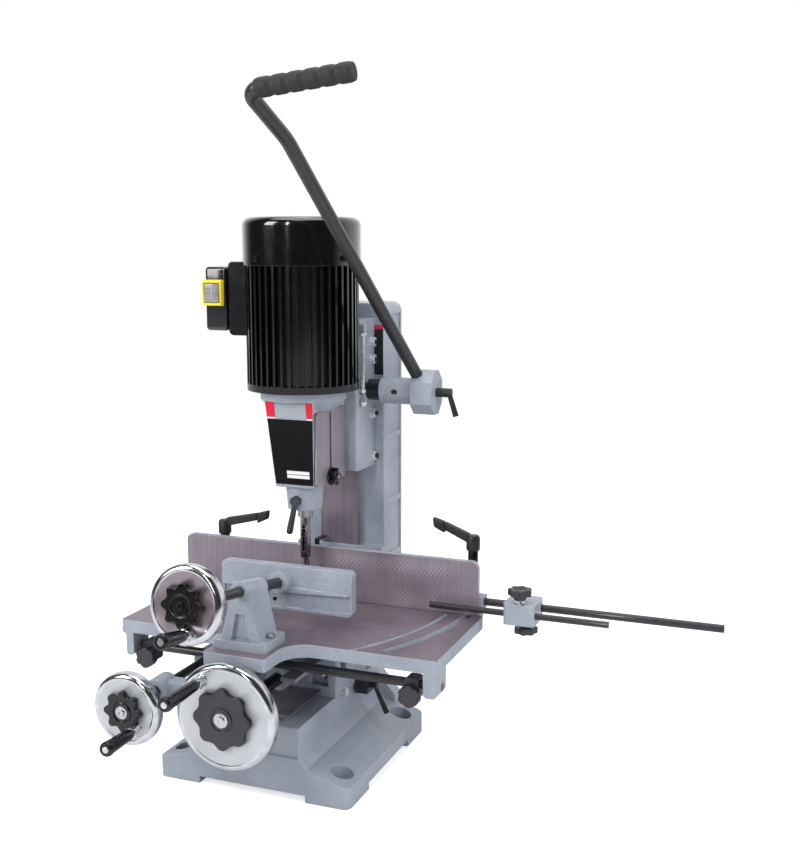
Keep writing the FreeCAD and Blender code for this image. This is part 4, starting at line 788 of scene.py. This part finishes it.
def soften(piece, width, segments=2, angle=30):
    only(piece)
    bevel = piece.modifiers.new("soften", "BEVEL")
    bevel.width = width
    bevel.segments = segments
    bevel.limit_method = "ANGLE"
    bevel.angle_limit = math.radians(angle)
    bpy.ops.object.modifier_apply(modifier=bevel.name)
    return piece


def carve(piece, tool):
    only(piece)
    knife = piece.modifiers.new("carve", "BOOLEAN")
    knife.operation = "DIFFERENCE"
    knife.solver = "EXACT"
    knife.object = tool
    bpy.ops.object.modifier_apply(modifier=knife.name)
    bpy.data.objects.remove(tool)
    return piece


def joined(pieces):
    begin()
    for piece in pieces:
        piece.select_set(True)
    bpy.context.view_layer.objects.active = pieces[0]
    bpy.ops.object.join()
    return bpy.context.object


def put(piece, place, turn=(0, 0, 0)):
    """Turns a piece made round the z axis by these degrees, moves it and keeps that in its mesh."""
    only(piece)
    piece.rotation_euler = [math.radians(value) for value in turn]
    piece.location = place
    bpy.ops.object.transform_apply(location=True, rotation=True, scale=True)
    return piece


def finish_piece(piece, name, body, finish, stands_for=(), angle=32):
    only(piece)
    bpy.ops.object.shade_smooth_by_angle(angle=math.radians(angle))
    piece.name = name
    piece.data.name = name
    piece.data.materials.clear()
    for key in ([finish] if isinstance(finish, str) else finish):
        piece.data.materials.append(FINISH[key])
    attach(piece, body)
    if stands_for:
        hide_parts(*stands_for)
    return piece


def paint_faces(piece, index, chosen):
    """Gives the faces that pass the test on their middle and normal another of the piece's finishes."""
    for face in piece.data.polygons:
        if chosen(face.center, face.normal):
            face.material_index = index


def dot(a, b):
    return sum(p * q for p, q in zip(a, b))


def moved(place, way, step):
    return tuple(p + w * step for p, w in zip(place, way))


FRONT = (90, 0, 0)
RIGHT = (0, 90, 0)
VISE_LEAN = 9.0
VISE_TURN = (90 - VISE_LEAN, 0, 0)
SPINDLE_Y = 0.040
STUD_Y = 0.086
GIB_Y = 0.177
DEPTH_ROD = (0.067, 0.126)


# Hand wheels

def wheel_disc(radius):
    """A flat-faced disc with a full round rim and a hub behind, drawn from the back to the face."""
    half, curve = 0.011, 0.0075
    middle = radius - curve
    rings = [(radius * 0.30, -0.019), (radius * 0.30, -0.0035), (radius - 0.012, -0.0035),
             (radius - 0.012, -half + 0.001), (middle, -half)]
    for start, level in ((-90, curve - half), (0, half - curve)):
        for step in range(7):
            angle = math.radians(start + step * 15)
            rings.append((middle + curve * math.cos(angle), level + curve * math.sin(angle)))
    flat = middle - 0.0022
    rings += [(middle - 0.0010, half), (flat, half - 0.0007)]
    return drawn_out(rings, 112), flat


def lobed_knob(radius, height, lobes, depth, dish=0.0):
    """A star knob with round lobes and rounded edges, and a dish sunk in its face if asked for."""
    edge = 0.0022
    rings = [(radius - edge * 0.6, 0), (radius, edge * 0.6)]
    for step in range(5):
        angle = math.radians(step * 22.5)
        rings.append((radius - edge + edge * math.cos(angle), height - edge + edge * math.sin(angle)))
    rings.append((radius - edge * 1.8, height))
    if dish:
        for share, sunk in ((0.62, 0), (0.50, 0.5), (0.30, 1)):
            rings.append((radius * share, height - dish * sunk))
    return drawn_out(rings, lobes * 14, lobes, depth / radius)


def star_face(ring, height):
    """The raised ring round the middle of a star."""
    steps = ((1.0, -0.0015), (0.985, 0.0014), (0.93, 0.0020), (0.86, 0.0015), (0.80, -0.0006),
             (0.70, -0.0014))
    return drawn_out([(ring * share, height + rise) for share, rise in steps], 56)


def handle(length):
    """Black turned handle with a plated ferrule at its foot and a plated dot in its rounded end."""
    ferrule = soften(drawn_out([(0.0094, -0.0005), (0.0094, 0.0056)], 8), 0.0008)
    swell = ((0.0086, 0.20), (0.0093, 0.45), (0.0099, 0.70), (0.0101, 0.80), (0.0098, 0.84), (0.0104, 0.86),
             (0.0109, 0.90), (0.0108, 0.945), (0.0100, 0.98), (0.0086, 1.0), (0.0060, 1.0))
    rings = [(0.0074, 0.0054), (0.0080, 0.0070)] + [(radius, length * share) for radius, share in swell]
    black = drawn_out(rings + [(0.0057, length - 0.0014)], 56)
    dot_rings = [(0.0052, length - 0.0040), (0.0052, length - 0.0010), (0.0046, length - 0.0004)]
    return ferrule, black, drawn_out(dot_rings, 32)


def hand_wheel(label, radius, place, turn, grip, grip_length, star, bodies, face, star_finish):
    """A disc, its star and its handle. Gives how far the star's face is ahead of the place.

    grip is where the handle stands on the disc. star has the star's radius, lobes and their depth,
    its height, and the radius of the ring on it.
    """
    face_low, face_high = 0.0098, 0.0108
    lift = 0.0102
    handle_level = 0.023
    disc, flat = wheel_disc(radius)
    shank = drawn_out([(0.0092, 0.0085), (0.0086, 0.0118), (0.0080, 0.0122), (0.0080, 0.0222)], 48)
    put(shank, (grip[0], grip[1], 0))
    disc = put(joined([disc, shank]), place, turn)
    finish_piece(disc, label + "_wheel_disc", bodies[0], ["chrome", face], (label + "_wheel",))
    out = normal_of(turn)

    def on_face(middle, normal):
        away = moved(middle, place, -1)
        along = dot(away, out)
        across = math.sqrt(max(0.0, dot(away, away) - along * along))
        ahead = face_low < along < face_high
        return ahead and across < flat + 0.0006 and abs(dot(normal, out)) > 0.9

    paint_faces(disc, 1, on_face)
    size, lobes, depth, height, ring = star
    knob = joined([lobed_knob(size, height, lobes, depth), star_face(ring, height)])
    put(knob, moved(place, out, lift), turn)
    finish_piece(knob, label + "_wheel_star", bodies[0], [star_finish, "glossy_knob"],
                 (label + "_star",))
    paint_faces(knob, 1, lambda middle, normal: abs(dot(normal, out)) < 0.6)
    seat = moved(moved(moved(place, out, handle_level), (1, 0, 0), grip[0]), up_of(turn), grip[1])
    ferrule, black, end = handle(grip_length)
    finish_piece(put(black, seat, turn), label + "_handle_grip", bodies[1], "glossy_knob",
                 (label + "_grip",))
    trim = put(joined([ferrule, end]), seat, turn)
    finish_piece(trim, label + "_handle_trim", bodies[1], "chrome")
    return lift + height


def normal_of(turn):
    lean = math.radians(turn[0])
    return (0, -math.sin(lean), math.cos(lean))


def up_of(turn):
    lean = math.radians(turn[0])
    return (0, math.cos(lean), math.sin(lean))


def wheel_bolt(name, place, turn, body, along, radius, finish="bright"):
    """A washer and a socket screw in the middle of a wheel."""
    washer = soften(drawn_out([(radius, -0.0024), (radius, 0.0010)], 48), 0.0005)
    head = put(socket_head(radius * 0.62, 0.0028), (0, 0, 0.0008))
    piece = put(joined([washer, head]), moved(place, normal_of(turn), along), turn)
    finish_piece(piece, name, body, finish)


def socket_head(radius, height):
    """Head of a socket screw, its hexagon hole sunk in the end."""
    head = soften(drawn_out([(radius, 0), (radius, height)], 32), radius * 0.10)
    return carve(head, drawn_out([(radius * 0.55, height * 0.45), (radius * 0.55, height + 0.002)], 6))


def hex_head(radius, height):
    """A hexagon head or nut with chamfered corners and a washer under it."""
    rings = [(radius * 0.98, 0), (radius, height * 0.15), (radius, height * 0.82), (radius * 0.86, height)]
    head = drawn_out(rings, 6)
    washer = soften(drawn_out([(radius * 1.12, -0.0012), (radius * 1.12, 0.0002)], 40), 0.0003)
    return joined([head, washer])


def screw(name, kind, radius, height, place, turn, body, finish="bright"):
    piece = hex_head(radius, height) if kind == "hex" else socket_head(radius, height)
    put(piece, place, turn)
    return finish_piece(piece, name, body, finish, angle=25)


def make_wheels():
    big = (0.0148, -0.252, 0.162)
    lift = hand_wheel("big", 0.080, big, FRONT, (-0.0335, 0.0523), 0.088,
                      (0.0464, 8, 0.0064, 0.0085, 0.0185), ("cross_pinion", "big_handle"), "face",
                      "satin_knob")
    wheel_bolt("big_wheel_bolt", big, FRONT, "cross_pinion", lift, 0.0112)
    small = (-0.137, -0.273, 0.159)
    lift = hand_wheel("small", 0.055, small, FRONT, (0.020, -0.025), 0.066,
                      (0.0318, 8, 0.0068, 0.0085, 0.0160), ("cross_screw", "small_handle"), "face",
                      "glossy_knob")
    wheel_bolt("small_wheel_bolt", small, FRONT, "cross_screw", lift, 0.0098)
    vise = moved((0.0164, -0.1888, 0.3307), normal_of(VISE_TURN), 0.163)
    lift = hand_wheel("vise", 0.055, vise, VISE_TURN, (0.012, -0.036), 0.060,
                      (0.0318, 8, 0.0068, 0.0085, 0.0165), ("vise_spindle", "vise_handle"), "dull_face",
                      "glossy_knob")
    wheel_bolt("vise_wheel_bolt", vise, VISE_TURN, "vise_spindle", lift - 0.0016, 0.0095, "dark_steel")


# Knobs, levers and screws

def stop_knobs():
    for label, x in (("left", -0.190), ("right", 0.253)):
        knob = lobed_knob(0.0163, 0.0115, 7, 0.0018, 0.0030)
        collar = drawn_out([(0.0105, -0.0008), (0.0105, 0.0004)], 40)
        piece = put(joined([knob, collar]), (x, -0.1388, 0.187), FRONT)
        finish_piece(piece, label + "_stop_knob", label + "_stop", "satin_knob")


def rod_knobs():
    """The lobed knobs above and below the stop rods' block, on their studs."""
    above, below = (0.363, 0.043), (0.363, 0.080)
    pieces = []
    for place, turn in (((*above, 0.306), (180, 0, 0)), ((*below, 0.224), (0, 0, 0))):
        knob = put(lobed_knob(0.0190, 0.0105, 7, 0.0036, 0.003), (0, 0, 0.0105), (180, 0, 0))
        neck = drawn_out([(0.0110, 0.0100), (0.0100, 0.0122), (0.0092, 0.0170), (0.0086, 0.0176)], 40)
        pieces.append(put(joined([knob, neck]), place, turn))
    finish_piece(joined(pieces), "stop_rod_knobs", "rod_block", "satin_knob",
                 ("rod_knobs",))
    studs = []
    for radius, length, sides, levels in ((0.0036, 0.0160, 24, (0.2745, 0.2395)),
                                          (0.0075, 0.0022, 32, (0.2819, 0.2470))):
        for (x, y), level in zip((above, below), levels):
            studs.append(put(drawn_out([(radius, 0), (radius, length)], sides), (x, y, level)))
    finish_piece(joined(studs), "stop_rod_studs", "rod_block", "bright")


def cover_knob():
    """Five round lobes on a hub with a disc behind, on the slot of the chuck cover."""
    centre = (0.0423, 0.050, 0.4575)
    circle = 0.0102
    lobes = [drawn_out([(0.0146, 0), (0.0150, 0.0008), (0.0150, 0.0020), (0.0140, 0.0028)], 48),
             drawn_out([(0.0082, 0.002), (0.0082, 0.0122), (0.0070, 0.0134), (0.0056, 0.0136)], 40)]
    for step in range(5):
        angle = math.radians(72 * step + 18)
        lobe = soften(drawn_out([(0.0042, 0.0026), (0.0042, 0.0120)], 28), 0.0014, 3)
        put(lobe, (circle * math.cos(angle), circle * math.sin(angle), 0))
        lobes.append(lobe)
    piece = put(joined(lobes), centre, RIGHT)
    finish_piece(piece, "chuck_cover_knob", "door_knob", "glossy_knob", ("cover_knob",))
    stud = put(drawn_out([(0.0026, -0.0160), (0.0026, 0.0139), (0.0020, 0.0144)], 24), centre, RIGHT)
    finish_piece(stud, "chuck_cover_stud", "door_knob", "bright")


def lever_bar(start, end, tall_start, tall_end, width, cut_back=0.0):
    """A bar from start to end, given by the middle of its top edge, that changes in height on the way."""
    middle = (start[0] + end[0]) / 2
    way = 1 if end[0] > start[0] else -1
    low = start[1] - tall_start / 2
    rise = end[1] - start[1]
    piece = block((abs(end[0] - start[0]), width, tall_start), (middle, STUD_Y, low))
    far = lambda vertex: (vertex.co.x - middle) * way > 0
    move_corners(piece, lambda vertex: far(vertex) and vertex.co.z > low, (0, 0, rise))
    move_corners(piece, lambda vertex: far(vertex) and vertex.co.z <= low,
                 (-cut_back * way, 0, rise - tall_end + tall_start))
    return piece


def fence_lever(label, x, high, root, step, tip):
    """Moulded clamp lever: hub, flat arm and deeper paddle, on a post with a nut below the table."""
    width = 0.0120
    foot = 0.2656
    body = "fence_clamp_" + label
    hub_rings = [(0.0108, high - 0.024), (0.0110, high - 0.022), (0.0110, high - 0.004), (0.0088, high)]
    hub = put(soften(drawn_out(hub_rings, 40), 0.0008), (x, STUD_Y, 0))
    arm = soften(lever_bar(root, step, 0.0150, 0.0125, width), 0.0018, 3)
    paddle = soften(lever_bar(step, tip, 0.0180, 0.0150, width, 0.002), 0.0024, 3)
    finish_piece(joined([hub, arm, paddle]), label + "_fence_lever", body, "black",
                 ("fence_lever_" + label,))
    post = put(soften(drawn_out([(0.0080, foot), (0.0080, high - 0.0235)], 32), 0.0006), (x, STUD_Y, 0))
    stud = put(drawn_out([(0.0059, 0.2260), (0.0059, foot + 0.001)], 32), (x, STUD_Y, 0))
    nut = put(soften(drawn_out([(0.0100, 0.2267), (0.0100, 0.2346)], 6), 0.0006), (x, STUD_Y, 0))
    finish_piece(joined([post, stud, nut]), label + "_fence_stud", body, "dark_steel")


def fence_levers():
    fence_lever("left", -0.177, 0.3590, (-0.172, 0.3632), (-0.112, 0.3760), (-0.091, 0.3820))
    fence_lever("right", 0.273, 0.3720, (0.268, 0.3735), (0.226, 0.3900), (0.2056, 0.3960))


def switch():
    """Rounded box, and a yellow frame round a see-through flap with ribs on its face."""
    box = soften(block((0.040, 0.070, 0.102), (-0.137, 0.040, 0.742)), 0.0060, 5)
    finish_piece(box, "switch_housing", "head", "gloss", ("switch_box",))
    left, right, low, high = -0.1597, -0.1213, 0.7303, 0.7727
    flap_x, flap_z = -0.1412, 0.7515
    frame = block((right - left, 0.0081, high - low), ((left + right) / 2, 0.00215, (low + high) / 2))
    move_corners(frame, lambda vertex: vertex.co.y < 0 and vertex.co.z < flap_z, (0, 0.0014, 0.0014))
    move_corners(frame, lambda vertex: vertex.co.y < 0 and vertex.co.z > flap_z, (0, 0, -0.0014))
    move_corners(frame, lambda vertex: vertex.co.y < 0.001 and vertex.co.x > -0.13, (-0.0035, 0, 0))
    soften(frame, 0.0020, 4)
    well = block((0.0290, 0.02, 0.0325), (flap_x, -0.006, flap_z))
    frame = soften(carve(frame, well), 0.0007, 2)
    finish_piece(frame, "switch_frame", "head", "yellow", ("switch_bezel",))
    flap = soften(block((0.0270, 0.0036, 0.0305), (flap_x, -0.0001, flap_z)), 0.0014, 3)
    ribs = [block((0.0250, 0.0010, 0.0007), (flap_x, -0.0022, flap_z))]
    ribs += [block((0.0006, 0.0008, 0.0240), (x, -0.0021, flap_z)) for x in (-0.1440, -0.1384)]
    ribs += [block((0.0200, 0.0008, 0.0005), (flap_x, -0.0021, z)) for z in (0.7585, 0.7445)]
    flap = joined([flap] + [soften(rib, 0.0002, 2) for rib in ribs])
    finish_piece(flap, "switch_flap", "switch", "flap", ("switch_paddle",))


def auger():
    """Twist auger: a flat strip wound round its axis, a pointed head and a plain shank."""
    strip = block((0.0092, 0.0030, 0.0860))
    edit()
    bpy.ops.mesh.select_all(action="SELECT")
    bpy.ops.mesh.subdivide(number_cuts=60)
    bpy.ops.object.mode_set(mode="OBJECT")
    turn = strip.modifiers.new("wind", "SIMPLE_DEFORM")
    turn.deform_method = "TWIST"
    turn.deform_axis = "Z"
    turn.angle = math.radians(360 * 6.5)
    bpy.ops.object.modifier_apply(modifier=turn.name)
    pieces = [put(strip, (0, SPINDLE_Y, 0.3600))]
    head = [(0.0004, 0.3000), (0.0058, 0.3050), (0.0060, 0.3070), (0.0060, 0.3170), (0.0046, 0.3182)]
    core = [(0.0016, 0.3180), (0.0016, 0.4020)]
    shank = [(0.0044, 0.4000), (0.0044, 0.5098)]
    for rings, sides in ((head, 40), (core, 20), (shank, 32)):
        pieces.append(put(drawn_out(rings, sides), (0, SPINDLE_Y, 0)))
    finish_piece(joined(pieces), "wound_auger", "spindle", "tool", ("auger_bit",))


def small_screws():
    circle = 0.0934
    for angle in (-21.9, 158.1, 68.1):
        turn = math.radians(angle)
        place = (circle * math.sin(turn), SPINDLE_Y - circle * math.cos(turn), 0.807)
        screw("cover_screw_%d" % (angle + 180), "socket", 0.0046, 0.0036, place, (90, 0, angle), "head",
              "dark_steel")
    screw("saddle_screw", "socket", 0.0060, 0.0060, (0.0620, -0.0165, 0.1470), FRONT, "saddle", "chrome")
    screw("saddle_side_bolt", "hex", 0.0075, 0.0060, (0.0850, -0.0010, 0.1160), RIGHT, "saddle", "zinc")
    for label, x in (("right", 0.0495), ("left", -0.0167)):
        screw("vise_bolt_" + label, "hex", 0.0070, 0.0058, (x, -0.1830, 0.2622), (0, 0, 0), "table")
    screw("pad_set_screw", "socket", 0.0030, 0.0024, (0.0116, -0.0925, 0.2900), FRONT, "vise_jaw",
          "dark_steel")
    screw("hub_set_screw", "socket", 0.0040, 0.0010, (0.1225, 0.1215, 0.5900), FRONT, "feed_arm", "black")
    for level in (0.666, 0.637, 0.545, 0.472):
        number = "%d" % (level * 1000)
        nut = put(hex_head(0.0086, 0.0060), (0.0622, GIB_Y, level), RIGHT)
        finish_piece(nut, "gib_nut_" + number, "head", "zinc")
        end = put(socket_head(0.0042, 0.0040), (0.0681, GIB_Y, level), RIGHT)
        finish_piece(end, "gib_screw_end_" + number, "head", "black")
    for level, tall in ((0.5655, 0.0060), (0.5860, 0.0050), (0.6800, 0.0050)):
        rings = [(0.0060, 0), (0.0062, 0.0006), (0.0062, tall - 0.0006), (0.0056, tall)]
        nut = put(drawn_out(rings, 6), (*DEPTH_ROD, level))
        finish_piece(nut, "depth_nut_%d" % (level * 1000), "depth_stop", "zinc")


# Plates and labels

def front_at(z):
    """Where the leaning front of the chisel housing is at this height."""
    top, foot = 0.585, 0.444
    return -0.015 + 0.019 * (top - z) / (top - foot)


def make_plates():
    """The printed plate on the leaning front of the chisel housing and the bare label beside the slide."""
    low, high, half_low, half_high = 0.4490, 0.5838, 0.0328, 0.0412
    middle = (low + high) / 2
    plate = block((half_high * 2, 0.0005, high - low), (0, front_at(high) - 0.00025, middle))
    lean = front_at(low) - front_at(high)
    for side in (-1, 1):
        move_corners(plate, lambda vertex: vertex.co.z < middle and vertex.co.x * side > 0,
                     ((half_low - half_high) * side, lean, 0))
    finish_piece(plate, "front_name_plate", "head", "front_plate")
    label = soften(block((0.0158, 0.0004, 0.084), (0.0708, 0.1848, 0.652)), 0.0002)
    finish_piece(label, "column_label", "column", "side_plate")


set_camera()
set_studio()
set_floor()
dress_nodes()
make_wheels()
stop_knobs()
rod_knobs()
cover_knob()
fence_levers()
switch()
auger()
small_screws()
make_plates()

bpy.context.scene.view_settings.view_transform = "Standard"
